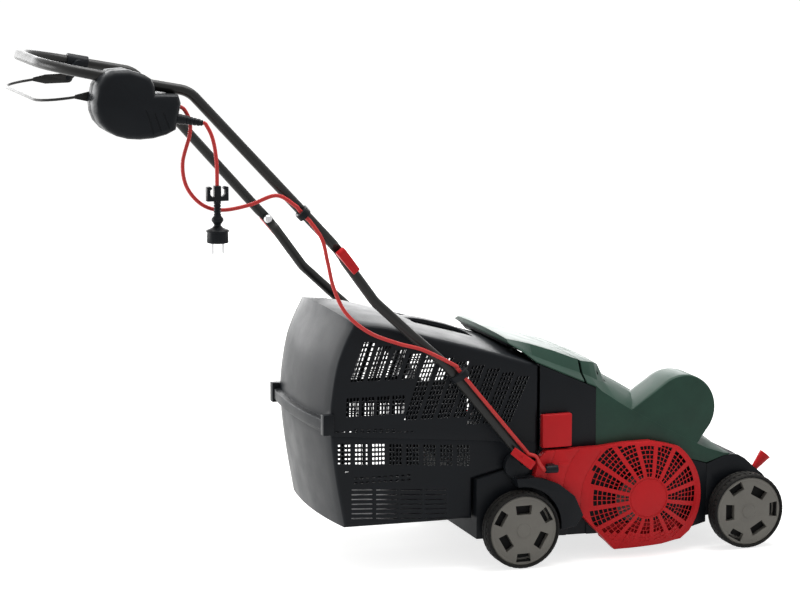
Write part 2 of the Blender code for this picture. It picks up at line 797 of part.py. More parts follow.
def add_hood():
    outer = [hood_ring(*station, 0.0) for station in hood_stations()]
    inner = []
    for i, (x, bottom, edge, shoulder, crown) in enumerate(hood_stations()):
        shifted = x - 0.01 if i == 0 else x - WALL * 0.8 if i > 3 else x + (WALL if i == 2 else 0)
        inner.append(hood_ring(shifted, bottom - 0.02, max(edge, bottom), shoulder, crown, WALL))
    add_piece(
        "motor_hood",
        loft(outer),
        "green_plastic",
        "chassis",
        ("UNION", bulge(BULGE_RADIUS, 0.0, -DECK_HALF + GAP, -BULGE_MIDDLE_Y, -BULGE_INNER_Y)),
        ("DIFFERENCE", loft(inner)),
        (
            "DIFFERENCE",
            bulge(BULGE_RADIUS - WALL, WALL, -DECK_HALF + WALL, -BULGE_MIDDLE_Y, -BULGE_INNER_Y - WALL),
        ),
    )


def add_side_covers():
    outline = cover_outline()
    inner = inset(outline, WALL)
    face = DECK_HALF + GAP + COVER_DEPTH
    top = DECK_HALF + GAP + COVER_DEPTH + VENT_RISE
    curve = [(0.0, top), (VENT_DISC_RADIUS, top), (0.050, top - 0.0025), (0.075, top - 0.0105)]
    curve += [(0.100, top - 0.0195), (VENT_RADIUS, face)]
    start, inside = -top - 0.02, -DECK_HALF - GAP
    wide, back = 0.3, inside + 0.04
    dome = [(r, -y) for r, y in curve] + [(wide, -face), (wide, back), (0, back)]
    hollow = [(r, -y + WALL) for r, y in curve] + [(wide, -face + WALL), (wide, back), (0, back)]
    hollow_tool = add_helper(
        "side_cover_right_hollow",
        prism(inner, start, inside + 0.01),
        "chassis",
        ("INTERSECT", lathe(hollow, VENT_CENTRE, 36)),
    )
    limit = inset(outline, 0.008)
    pitch = 360 / VENT_SECTORS
    slots = []
    for k in range(VENT_SECTORS):
        for a0, a1 in ((0.11, 0.46), (0.54, 0.89)):
            angles = [math.radians((k + a) * pitch + 4) for a in (a0, a1)]
            outer = min([VENT_RADIUS - 0.007] + [reach(limit, VENT_CENTRE, a) for a in angles])
            if outer < VENT_DISC_RADIUS + 0.02:
                continue
            corners = [(VENT_DISC_RADIUS + 0.007, angles[0]), (outer, angles[0])]
            corners += [(outer, angles[1]), (VENT_DISC_RADIUS + 0.007, angles[1])]
            shape = [(VENT_CENTRE[0] + r * math.cos(a), VENT_CENTRE[1] + r * math.sin(a)) for r, a in corners]
            slots.append(prism(shape, start, -face + WALL + 0.001))
    add_piece(
        "side_cover_right",
        prism(outline, start, inside),
        "red_plastic",
        "chassis",
        ("INTERSECT", lathe(dome, VENT_CENTRE, 36)),
        ("DIFFERENCE", hollow_tool),
        ("DIFFERENCE", merged(*slots)),
    )
    add_piece(
        "side_cover_left",
        prism(outline, -inside, face),
        "red_plastic",
        "chassis",
        ("DIFFERENCE", prism(inner, -inside - 0.01, face - WALL)),
    )
    add_piece(
        "side_plate_right",
        box(OUTLET_X, 0.107, -DECK_HALF - 0.0145, inside, 0.2200, 0.283),
        "red_plastic",
        "chassis",
    )


# Drive


def add_drive():
    make_body("motor_rotor", MOTOR_AXIS[0], 0.0, MOTOR_AXIS[1])
    make_body("cutter", CUTTER_AXIS[0], 0.0, CUTTER_AXIS[1])
    bore = MOTOR_SHAFT_RADIUS + GAP
    near, far, cap, core = MOTOR_OUTER_Y, MOTOR_INNER_Y, WALL + 0.001, MOTOR_CORE_RADIUS
    can = [(bore, -near), (MOTOR_CAN_RADIUS, -near), (MOTOR_CAN_RADIUS, -far), (bore, -far)]
    can += [(bore, -far - cap), (core, -far - cap), (core, -near + cap), (bore, -near + cap)]
    add_piece("motor_stator", lathe(can, MOTOR_AXIS, 28, closed=True), "motor_iron", "chassis")
    radius, slim = MOTOR_SHAFT_RADIUS, core - 0.0015
    near_core, far_core = near - cap - 0.003, far + cap + 0.003
    end = -DECK_HALF + 0.005
    shaft = [(0, end), (radius, end), (radius, -near_core), (slim, -near_core)]
    shaft += [(slim, -far_core), (radius, -far_core), (radius, -far + 0.002), (0, -far + 0.002)]
    add_piece("motor_armature", lathe(shaft, MOTOR_AXIS, 24), "motor_iron", "motor_rotor")
    y0, y1 = -PULLEY_Y - PULLEY_HALF_WIDTH, -PULLEY_Y + PULLEY_HALF_WIDTH
    for name, body, axis, radius, hole in (
        ("motor_pulley", "motor_rotor", MOTOR_AXIS, MOTOR_PULLEY_RADIUS, MOTOR_SHAFT_RADIUS + GAP),
        ("cutter_pulley", "cutter", CUTTER_AXIS, CUTTER_PULLEY_RADIUS, CUTTER_SHAFT_RADIUS + GAP),
    ):
        flange = radius + BELT_THICKNESS
        profile = [(hole, y0), (flange, y0), (flange, y0 + PULLEY_FLANGE), (radius, y0 + PULLEY_FLANGE)]
        profile += [(radius, y1 - PULLEY_FLANGE), (flange, y1 - PULLEY_FLANGE), (flange, y1), (hole, y1)]
        add_piece(name, lathe(profile, axis, 24, closed=True), "grey_plastic", body)
    inner, outer = belt_outline(2 * GAP), belt_outline(2 * GAP + BELT_THICKNESS)
    edge = PULLEY_FLANGE + GAP
    add_piece(
        "drive_belt",
        prism(outer, y0 + edge, y1 - edge),
        "rubber",
        "chassis",
        ("DIFFERENCE", prism(inner, y0 - 0.01, y1 + 0.01)),
    )
    add_piece(
        "cutter_shaft",
        cylinder(CUTTER_AXIS, CUTTER_SHAFT_RADIUS, -DECK_HALF + 0.0055, DECK_HALF + 0.002, 20),
        "bright_steel",
        "cutter",
    )
    seat_left = DECK_HALF - DECK_WALL / 2
    for side, middle in (("right", -BELT_WALL_Y), ("left", seat_left)):
        y0, y1 = middle - BEARING_WIDTH / 2, middle + BEARING_WIDTH / 2
        inner_r = CUTTER_SHAFT_RADIUS + GAP
        ring = [(inner_r, y0), (BEARING_RADIUS, y0), (BEARING_RADIUS, y1), (inner_r, y1)]
        add_piece(f"bearing_{side}", lathe(ring, CUTTER_AXIS, 24, closed=True), "bright_steel", "chassis")
    add_piece("blade_stack", blade_stack(), "black_steel", "cutter", ("DIFFERENCE", blade_bore()))


def blade_bore():
    return cylinder(CUTTER_AXIS, CUTTER_SHAFT_RADIUS + GAP, -THROUGH, THROUGH, 20)


def blade_stack():
    """Eight-pointed blades with spacers between them, each blade turned a little from the last."""
    first, last = -BELT_WALL_Y + 0.009, DECK_HALF - 0.011
    pitch = (last - first) / BLADE_COUNT
    spacer = pitch - BLADE_THICKNESS
    rings, y = [], first
    for k in range(BLADE_COUNT):
        turn = 9 * k
        star, round_ring = [], []
        for i in range(16):
            angle = math.radians(22.5 * i + turn)
            radius = BLADE_RADIUS if i % 2 == 0 else BLADE_RADIUS * 0.62
            star.append((radius * math.cos(angle), radius * math.sin(angle)))
            round_ring.append((BLADE_ROOT_RADIUS * math.cos(angle), BLADE_ROOT_RADIUS * math.sin(angle)))
        levels = [(round_ring, y), (round_ring, y + spacer / 2), (star, y + spacer / 2)]
        levels += [(star, y + spacer / 2 + BLADE_THICKNESS), (round_ring, y + spacer / 2 + BLADE_THICKNESS)]
        levels += [(round_ring, y + pitch)]
        for ring, level in levels if k == 0 else levels[1:]:
            rings.append([(CUTTER_AXIS[0] + a, level, CUTTER_AXIS[1] + b) for a, b in ring])
        y += pitch
    return loft(rings)


# Rear flap


def add_flap():
    make_body("rear_flap", FLAP_HINGE[0], 0.0, FLAP_HINGE[1])
    clear = 2 * GAP

    def ring(x, half, bottom, edge, shoulder, crown, cut=0.0):
        ridge = 0.63 * half
        return [
            (x, -half + cut, bottom),
            (x, -half + cut, edge - cut * 0.4),
            (x, -ridge, shoulder - cut),
            (x, -0.045, shoulder + crown - cut),
            (x, 0.045, shoulder + crown - cut),
            (x, ridge, shoulder - cut),
            (x, half - cut, edge - cut * 0.4),
            (x, half - cut, bottom),
        ]

    stations = [
        (0.002, DECK_HALF - 0.058, 0.4105, 0.4120, 0.4180, 0.0035),
        (0.040, DECK_HALF, seam_z(0.040) + clear, seam_z(0.040) + 0.003, 0.4045, 0.004),
        (0.090, DECK_HALF, seam_z(0.090) + clear, seam_z(0.090) + 0.003, 0.3885, 0.004),
        (FLAP_FRONT_X, DECK_HALF, seam_z(FLAP_FRONT_X) + clear, seam_z(FLAP_FRONT_X) + 0.003, 0.3750, 0.004),
    ]
    outer = [ring(*station) for station in stations]
    inner = []
    for i, (x, half, bottom, edge, shoulder, crown) in enumerate(stations):
        shifted = x + WALL if i == 0 else x + 0.01 if i == 3 else x
        drop = 0.0043 if i == 3 else 0.0
        inner.append(ring(shifted, half, bottom - 0.02, edge - drop, shoulder - drop, crown, WALL))
    hx, hz = FLAP_HINGE
    arm = [
        (0.119, 0.3800),
        (0.119, hz - 0.0075),
        (hx, hz - 0.0055),
        (hx + 0.0045, hz - 0.003),
        (hx + 0.0055, hz),
        (hx + 0.0035, hz + 0.0035),
        (hx, hz + 0.0050),
        (hx - 0.008, hz + 0.0015),
        (0.1265, hz + 0.0010),
        (0.1265, 0.3778),
    ]
    arms = merged(*(prism(arm, *sorted((s * 0.092, s * 0.101))) for _, s in SIDES))
    add_piece(
        "rear_flap",
        loft(outer),
        "green_plastic",
        "rear_flap",
        ("DIFFERENCE", loft(inner)),
        ("UNION", arms),
        ("DIFFERENCE", cylinder(FLAP_HINGE, FLAP_PIN_RADIUS + GAP, -0.12, 0.12, 12)),
    )
    add_piece("flap_pin", cylinder(FLAP_HINGE, FLAP_PIN_RADIUS, -0.114, 0.114, 12), "bright_steel", "chassis")
    inner_r, outer_r = FLAP_PIN_RADIUS + GAP, FLAP_PIN_RADIUS + 0.0025
    coil = [(inner_r, 0.070), (outer_r, 0.070), (outer_r, 0.0895), (inner_r, 0.0895)]
    add_piece("flap_spring", lathe(coil, FLAP_HINGE, 16, closed=True), "bright_steel", "chassis")


# Catcher


def catcher_share(x):
    """How wide the catcher is at x, as a share of its mouth: the side walls lean in towards the rear."""
    return 1 - (1 - CATCHER_REAR_SHARE) * (MOUTH_X - x) / (MOUTH_X - CATCHER_REAR_X)


def catcher_section(y, cut):
    """The catcher's side outline at one distance from the middle, made smaller by cut.

    The back bulges and the top is crowned towards the middle.
    """
    t = min(1.0, abs(y) / CATCHER_HALF)
    bulge_x, crown = CATCHER_REAR_BULGE * (1 - t * t), CATCHER_CROWN * (1 - t * t)
    back = [(-0.3266, 0.0885), (-0.3416, 0.174), (-0.3516, 0.253), (CATCHER_REAR_X, 0.315)]
    back += [(-0.3416, 0.388), (-0.3256, 0.433)]
    top = [(-0.3066, 0.4693), (-0.236, 0.458), (-0.156, 0.436), (-0.075, 0.4135), (-0.020, 0.3965)]
    top += [(MOUTH_X, 0.3755)]
    floor = [(MOUTH_X, ledge_z(MOUTH_X) + 0.0008), (-0.083, ledge_z(-0.083) + 0.0008)]
    floor += [(-0.083, 0.0905), (-0.148, 0.0895)]
    outline = [(x - bulge_x, z) for x, z in back]
    outline += [(top[0][0] - bulge_x, top[0][1] + crown)] + [(x, z + crown) for x, z in top[1:]] + floor
    return inset(outline, cut) if cut else outline


def catcher_shell(cut, half, open_mouth):
    edge = 0.007
    levels = [-half, -half + edge, -0.135, -0.07, 0.0, 0.07, 0.135, half - edge, half]
    rings = []
    for y in levels:
        outline = catcher_section(y, cut + (edge if abs(y) == half else 0.0))
        if open_mouth:
            back_count = 6
            outline = list(outline)
            outline[back_count + 5] = (MOUTH_X + 0.02, outline[back_count + 5][1] - 0.006)
            outline[back_count + 6] = (MOUTH_X + 0.02, outline[back_count + 6][1] + 0.005)
        rings.append([(x, y * catcher_share(x), z) for x, z in outline])
    return loft(rings)


def half_space(above):
    """A block that reaches from the catcher's parting line up or down."""
    step = GAP / 2 if above else -GAP / 2
    far = 0.7 if above else -0.2
    ends = [(x, CATCHER_SPLIT_Z + CATCHER_SPLIT_SLOPE * x + step) for x in (-0.6, 0.2)]
    return prism([ends[0], ends[1], (0.2, far), (-0.6, far)], -THROUGH, THROUGH)


def rear_lip():
    """The ledge across the back of the upper shell, above the parting line."""
    ys = [CATCHER_HALF * k / 6 for k in range(-6, 7)]
    rear = [CATCHER_REAR_X - CATCHER_REAR_BULGE * (1 - (y / CATCHER_HALF) ** 2) for y in ys]
    outer = [(x - 0.0105, 1.02 * y * catcher_share(x)) for x, y in zip(rear, ys)]
    inner = [(x + 0.0020, 0.975 * y * catcher_share(x)) for x, y in zip(rear, ys)]
    ring = outer + inner[::-1]
    return loft([[(x, y, z) for x, y in ring] for z in (0.279, 0.301)])


def side_slot(x, low, rise, lean):
    """A slot through both side panels, from its foot up; its head stands further forward by the lean."""
    half, head = SLOT_HALF_WIDTH, x + rise * lean
    outline = [(x - half, low), (x + half, low), (head + half, low + rise), (head - half, low + rise)]
    return prism(outline, -THROUGH, THROUGH)


def upper_slots():
    """Slanted slots that end below the top edge; the front ones start lower, as the top edge falls."""
    slots = []
    for x in (-0.300 + 0.019 * k for k in range(16)):
        edge = 0.4135 - 0.27 * (x + 0.075)
        low = min(0.362, edge - 0.055)
        slots.append(side_slot(x, low, (edge - 0.028 - low) / (1 + 0.27 * SLOT_LEAN), SLOT_LEAN))
    return slots


def add_catcher():
    make_body("catcher", -0.16, 0.0, 0.27)
    half, wall = CATCHER_HALF, CATCHER_WALL
    grip_x0, grip_x1 = -0.156, -0.036
    lower_slots = [side_slot(-0.318 + 0.0175 * k, 0.212, 0.044, 0.0) for k in range(13)]
    grip_holes = merged(
        *(box(grip_x0, grip_x1, *sorted((s * 0.018, s * 0.058)), 0.36, 0.52) for _, s in SIDES)
    )
    grip_span = [(grip_x0 - 0.012, 0.4498), (grip_x0 + 0.02, 0.4465), (-0.096, 0.4370)]
    grip_span += [(grip_x1 - 0.02, 0.4240), (grip_x1 + 0.012, 0.4085)]
    grip = grip_span + [(x, z - 0.010) for x, z in grip_span[::-1]]
    add_piece(
        "catcher_upper",
        catcher_shell(0.0, half, False),
        "black_plastic",
        "catcher",
        ("DIFFERENCE", catcher_shell(wall, half - wall, True)),
        ("INTERSECT", half_space(True)),
        ("UNION", rear_lip()),
        ("DIFFERENCE", grip_holes),
        ("UNION", prism(grip, -0.0175, 0.0175)),
        ("DIFFERENCE", merged(*upper_slots())),
    )
    add_piece(
        "catcher_lower",
        catcher_shell(0.0, half, False),
        "black_plastic",
        "catcher",
        ("DIFFERENCE", catcher_shell(wall, half - wall, True)),
        ("INTERSECT", half_space(False)),
        ("DIFFERENCE", merged(*lower_slots)),
    )


# Handle


def tube_direction(start, end):
    return (Vector(end) - Vector(start)).normalized()


def add_lower_handle():
    make_body("lower_handle", HANDLE_PIVOT[0], 0.0, HANDLE_PIVOT[1])
    low_bend, mid_bend, high_bend = (-0.1475, 0.3917), (-0.2174, 0.4540), (-0.288, 0.520)
    low_dir, high_dir = tube_direction(HANDLE_PIVOT, low_bend), tube_direction(CLAMP, high_bend)
    start, end = Vector(HANDLE_PIVOT) + low_dir * TUBE_SETBACK, Vector(CLAMP) + high_dir * TUBE_SETBACK
    for side, sign in SIDES:
        y = sign * LOWER_TUBE_Y
        corners = [(p[0], y, p[1]) for p in (start, low_bend, mid_bend, high_bend, end)]
        span = sorted((sign * TONGUE_INNER_Y, sign * TONGUE_OUTER_Y))
        bore = sorted((sign * (TONGUE_INNER_Y - 0.01), sign * (TONGUE_OUTER_Y + 0.01)))
        tongues = merged(
            prism(capsule(start + low_dir * 0.012, HANDLE_PIVOT, TONGUE_HALF_WIDTH), *span),
            prism(capsule(end + high_dir * 0.012, CLAMP, TONGUE_HALF_WIDTH), *span),
        )
        bores = merged(*(cylinder(centre, BOLT_RADIUS + GAP, *bore, 16) for centre in (HANDLE_PIVOT, CLAMP)))
        add_piece(
            f"lower_tube_{side}",
            sweep(rounded(corners, (0.15, 0.15, 0.06), 3), TUBE_RADIUS),
            "black_steel",
            "lower_handle",
            ("UNION", tongues),
            ("DIFFERENCE", bores),
        )
        head_y, end_y = TONGUE_INNER_Y - GAP, TONGUE_OUTER_Y + GAP + TONGUE_THICKNESS
        bolt = [(0, head_y - 0.005), (0.008, head_y - 0.005), (0.008, head_y), (BOLT_RADIUS, head_y)]
        bolt += [(BOLT_RADIUS, end_y), (0, end_y)]
        add_piece(
            f"clamp_bolt_{side}",
            lathe([(r, sign * y) for r, y in bolt], CLAMP, 16),
            "bright_steel",
            "lower_handle",
        )


def handle_path():
    """The upper handle's centre line, from one clamp round the crossbar to the other."""
    direction = tube_direction(CLAMP, GRIP_BEND)
    start = Vector(CLAMP) + direction * TUBE_SETBACK
    corners = [
        (start.x, -UPPER_TUBE_Y, start.y),
        (GRIP_BEND[0], -GRIP_Y, GRIP_BEND[1]),
        (CROSSBAR[0], -GRIP_Y, CROSSBAR[1]),
        (CROSSBAR[0], GRIP_Y, CROSSBAR[1]),
        (GRIP_BEND[0], GRIP_Y, GRIP_BEND[1]),
        (start.x, UPPER_TUBE_Y, start.y),
    ]
    radii = (0.05, CROSSBAR_CORNER, CROSSBAR_CORNER, 0.05)
    return rounded(corners, radii, 6), direction, start


def add_upper_handle():
    make_body("upper_handle", CLAMP[0], 0.0, CLAMP[1])
    path, direction, start = handle_path()
    inner = TONGUE_OUTER_Y + GAP
    tongues, bores = [], []
    for _, sign in SIDES:
        span = sorted((sign * inner, sign * (inner + TONGUE_THICKNESS)))
        bore = sorted((sign * (inner - 0.01), sign * (inner + TONGUE_THICKNESS + 0.01)))
        tongues.append(prism(capsule(start + direction * 0.012, CLAMP, TONGUE_HALF_WIDTH), *span))
        bores.append(cylinder(CLAMP, BOLT_RADIUS + GAP, *bore, 16))
    add_piece(
        "upper_handle_tube",
        sweep(path, TUBE_RADIUS),
        "black_steel",
        "upper_handle",
        ("UNION", merged(*tongues)),
        ("DIFFERENCE", merged(*bores)),
    )


def lever_shape(pivot, angle, face_y, sign):
    """A cam lever: a round head against the tongue and a blade that lies along the tube."""
    along = (math.cos(math.radians(angle)), math.sin(math.radians(angle)))
    head = 0.008
    middle = face_y + head + GAP
    profile = arc((0.0, middle), head, 60, 300, 10)
    profile += [(0.012, middle - 0.0035), (0.040, middle - 0.0015), (0.045, middle + 0.001)]
    profile += [(0.045, middle + 0.004), (0.030, middle + 0.0065)]
    across = (-along[1], along[0])
    rings = []
    for step in (-0.008, 0.008):
        ring = []
        for u, y in profile:
            x = pivot[0] + along[0] * u + across[0] * step
            z = pivot[1] + along[1] * u + across[1] * step
            ring.append((x, sign * y, z))
        rings.append(ring)
    return loft(rings), middle


def add_levers():
    for name, pivot, angle, face in (
        ("lower_lever", HANDLE_PIVOT, 141.7, TONGUE_OUTER_Y + GAP),
        ("clamp_lever", CLAMP, -51.8, TONGUE_OUTER_Y + 2 * GAP + TONGUE_THICKNESS),
    ):
        for side, sign in SIDES:
            shape, middle = lever_shape(pivot, angle, face, sign)
            make_body(f"{name}_{side}", pivot[0], sign * middle, pivot[1])
            add_piece(f"{name}_{side}", shape, "red_plastic", f"{name}_{side}")


def add_cable_clip(name, body, centre, direction, toward):
    """A saddle round the tube with a small eye for the lead."""
    y_axis = Vector(direction).normalized()
    x_axis = (Vector(toward) - y_axis * Vector(toward).dot(y_axis)).normalized()
    z_axis = x_axis.cross(y_axis)
    turn = Matrix((x_axis, y_axis, z_axis)).transposed().to_4x4()
    place = Matrix.Translation(centre) @ turn
    eye = (LEAD_STANDOFF, 0.0)
    body_shape = prism(capsule((0, 0), eye, TUBE_RADIUS + 0.0028), -0.006, 0.006)
    holes = merged(
        cylinder((0, 0), TUBE_RADIUS + GAP, -0.02, 0.02, 20),
        cylinder(eye, LEAD_RADIUS + GAP, -0.02, 0.02, 12),
    )
    add_piece(name, placed(body_shape, place), "black_plastic", body, ("DIFFERENCE", placed(holes, place)))
    return Vector(centre) + x_axis * LEAD_STANDOFF


# Switch box, bail and leads


def box_outline():
    return [
        (-0.7691, 0.9521),
        (-0.7400, 0.9535),
        (-0.7150, 0.9455),
        (-0.7030, 0.9380),
        (-0.6965, 0.9250),
        (-0.6950, 0.9105),
        (-0.6545, 0.9085),
        BOX_CORNER_HIGH,
        BOX_CORNER_LOW,
        (-0.6765, 0.8396),
        (-0.7000, 0.8340),
        (-0.7241, 0.8327),
        (-0.7455, 0.8345),
        (-0.7652, 0.8400),
        (-0.7815, 0.8500),
        (-0.7941, 0.8641),
        (-0.8005, 0.8810),
        (-0.8022, 0.8988),
        (-0.7959, 0.9272),
        (-0.7850, 0.9425),
    ]


def grip_line():
    """A point and a direction on the straight grip part of the handle."""
    return Vector((GRIP_BEND[0], 0, GRIP_BEND[1])), Vector(
        (CROSSBAR[0] - GRIP_BEND[0], 0, CROSSBAR[1] - GRIP_BEND[1])
    ).normalized()


def tube_channel():
    """The room that the handle's tube takes in a piece that goes round it."""
    return sweep(handle_path()[0], TUBE_RADIUS + GAP)


def add_switch_box():
    outline = box_outline()
    hollow = inset(outline, WALL)
    edge, split = 0.009, GRIP_Y
    rings = [(-BOX_OUTER_Y, edge), (-BOX_OUTER_Y + edge * 0.4, edge * 0.35), (-BOX_OUTER_Y + edge, 0.0)]
    rings += [(-split - GAP, 0.0)]
    outer_half = loft([[(x, y, z) for x, z in (inset(outline, cut) if cut else outline)] for y, cut in rings])
    pocket_outer = prism(inset(outline, edge + 0.001), -BOX_OUTER_Y + WALL, -split + 0.01)
    add_piece(
        "switch_box_outer",
        outer_half,
        "black_plastic",
        "upper_handle",
        ("DIFFERENCE", pocket_outer),
        ("DIFFERENCE", tube_channel()),
    )
    pin = cylinder(BAIL_AXIS, BOLT_RADIUS, -BOX_INNER_Y - 0.001, -BAIL_Y + BAIL_THICKNESS / 2 + 0.001, 16)
    add_piece(
        "switch_box_inner",
        prism(outline, -split + GAP, -BOX_INNER_Y),
        "black_plastic",
        "upper_handle",
        ("DIFFERENCE", prism(hollow, -split - 0.01, -BOX_INNER_Y - WALL)),
        ("UNION", pin),
        ("DIFFERENCE", tube_channel()),
        ("DIFFERENCE", cylinder(BUTTON, BUTTON_RADIUS + GAP, -split, -BOX_INNER_Y + 0.01, 20)),
    )
    switch_face = -split - 0.003
    add_piece(
        "microswitch",
        box(BUTTON[0] - 0.014, BUTTON[0] + 0.014, -BOX_OUTER_Y + WALL + GAP, switch_face, 0.871, 0.889),
        "grey_plastic",
        "upper_handle",
    )
    make_body("safety_button", BUTTON[0], -BOX_INNER_Y, BUTTON[1])
    inside, flange = -BOX_INNER_Y - WALL - GAP, BUTTON_RADIUS + 0.003
    button = [(0, -BOX_INNER_Y + 0.008), (BUTTON_RADIUS - 0.002, -BOX_INNER_Y + 0.008)]
    button += [(BUTTON_RADIUS, -BOX_INNER_Y + 0.006), (BUTTON_RADIUS, inside), (flange, inside)]
    button += [(flange, inside - 0.002), (0.004, inside - 0.002), (0.004, switch_face + BUTTON_TRAVEL + GAP)]
    button += [(0, switch_face + BUTTON_TRAVEL + GAP)]
    add_piece("safety_button", lathe(button, BUTTON, 20), "red_plastic", "safety_button")


def add_bail():
    make_body("bail", BAIL_AXIS[0], 0.0, BAIL_AXIS[1])
    root, cross = (-0.815, 0.9045), (-0.883, 0.8965)
    corners = [
        (root[0], -BAIL_Y, root[1]),
        (cross[0], -BAIL_Y, cross[1]),
        (cross[0], BAIL_Y, cross[1]),
        (root[0], BAIL_Y, root[1]),
    ]
    wire = sweep(rounded(corners, (0.055, 0.055), 6), BAIL_WIRE_RADIUS, 8)
    half = BAIL_THICKNESS / 2
    arms, bores = [], []
    for _, sign in SIDES:
        span = sorted((sign * (BAIL_Y - half), sign * (BAIL_Y + half)))
        arm = arc(BAIL_AXIS, 0.009, 95, -95, 8) + [(-0.800, 0.8955), (-0.823, 0.9010), (-0.823, 0.9075)]
        arms.append(prism(arm + [(-0.800, 0.9125)], *span))
        bore = sorted((sign * (BAIL_Y - 0.02), sign * (BAIL_Y + 0.02)))
        bores.append(cylinder(BAIL_AXIS, BOLT_RADIUS + GAP, *bore, 16))
    add_piece(
        "bail",
        wire,
        "black_steel",
        "bail",
        ("UNION", merged(*arms)),
        ("DIFFERENCE", merged(*bores)),
    )
    point, direction = grip_line()
    start = Vector((point.x, GRIP_Y, point.z)) + direction * 0.090
    outer = TUBE_RADIUS + 0.004
    sleeve = lathe([(0, 0), (outer, 0), (outer, 0.040), (0, 0.040)], segments=20)
    middle = start + direction * 0.020
    plate = prism(capsule((middle.x, middle.z - 0.004), BAIL_AXIS, 0.009), BOX_INNER_Y, GRIP_Y - 0.002)
    add_piece(
        "bail_bracket_left",
        aimed(sleeve, start, direction),
        "black_plastic",
        "upper_handle",
        ("UNION", plate),
        ("UNION", cylinder(BAIL_AXIS, BOLT_RADIUS, BAIL_Y - half - 0.001, BOX_INNER_Y + 0.002, 16)),
        ("DIFFERENCE", tube_channel()),
    )


def beside(x, out, z):
    """A point at a distance out from the deck's right-hand side."""
    return (x, -DECK_HALF - out, z)


def add_fixed_lead():
    """The lead from the switch box to the motor, clipped to the right-hand tubes."""
    path = handle_path()[0]
    slant = (path[1] - path[0]).normalized()
    eye_upper = add_cable_clip("cable_clip_upper", "upper_handle", path[0] + slant * 0.080, slant, (0, -1, -0.4))
    low_dir = tube_direction(HANDLE_PIVOT, (-0.1475, 0.3917))
    lower = Vector(HANDLE_PIVOT) + low_dir * 0.222
    along = Vector((low_dir.x, 0, low_dir.y))
    across = Vector((low_dir.y, -1.0, -low_dir.x))
    eye_lower = add_cable_clip(
        "cable_clip_lower", "lower_handle", (lower.x, -LOWER_TUBE_Y, lower.y), along, across
    )
    pivot = Vector((HANDLE_PIVOT[0], -LOWER_TUBE_Y, HANDLE_PIVOT[1]))
    near_pivot = pivot + across.normalized() * LEAD_STANDOFF + along * 0.036
    upper_cut, lower_cut = eye_upper - slant * 0.008, eye_lower + along * 0.008
    upper_route = [
        beside(-0.6492, 0.0250, 0.8870),
        beside(-0.6450, 0.0250, 0.8850),
        beside(-0.6370, 0.0250, 0.8790),
        beside(-0.6285, 0.0255, 0.8600),
        beside(-0.6285, 0.0255, 0.8350),
        beside(-0.6420, 0.0260, 0.7860),
        beside(-0.6350, 0.0265, 0.7430),
        beside(-0.6080, 0.0270, 0.7110),
        beside(-0.5720, 0.0290, 0.7000),
        beside(-0.5250, 0.0390, 0.7080),
        beside(-0.4780, 0.0480, 0.7240),
        *straight_end(eye_upper + slant * 0.022, -slant, 0.022),
        tuple(upper_cut),
    ]
    middle_route = [
        *straight_end(upper_cut - slant * GAP, -slant, 0.012),
        beside(-0.3960, 0.0580, 0.6420),
        beside(-0.3860, 0.0585, 0.6000),
        beside(-0.3740, 0.0570, 0.5520),
        beside(-0.3500, 0.0550, 0.5050),
        beside(-0.3060, 0.0520, 0.4680),
        beside(-0.2500, 0.0490, 0.4440),
        beside(-0.2000, 0.0450, 0.4280),
        *straight_end(lower_cut + along * 0.014, -along, 0.014 - GAP),
    ]
    lower_end = near_pivot - along * 0.012
    lower_route = [tuple(lower_cut)]
    lower_route += [tuple(lower_cut.lerp(lower_end, share)) for share in (0.05, 0.25, 0.5, 0.75, 0.95)]
    lower_route += [tuple(lower_end)]
    pivot_route = [
        *straight_end(lower_end - along * GAP, -along, 0.010),
        beside(0.0240, 0.0400, 0.2120),
        beside(0.0330, 0.0390, 0.1960),
        *straight_end(beside(0.0430, 0.0380, 0.1850), (1, 0, 0), 0.008 - GAP),
    ]
    add_cord("lead_upper", upper_route, "upper_handle")
    add_cord("lead_clamp_bend", middle_route, "upper_handle")
    add_cord("lead_lower", lower_route, "lower_handle")
    add_cord("lead_pivot_bend", pivot_route, "lower_handle")
    face = DECK_HALF + GAP + COVER_DEPTH + GAP
    add_piece("lead_gland", box(0.051, 0.068, -DECK_HALF - 0.045, -face, 0.1755, 0.1915), "black_plastic", "chassis")


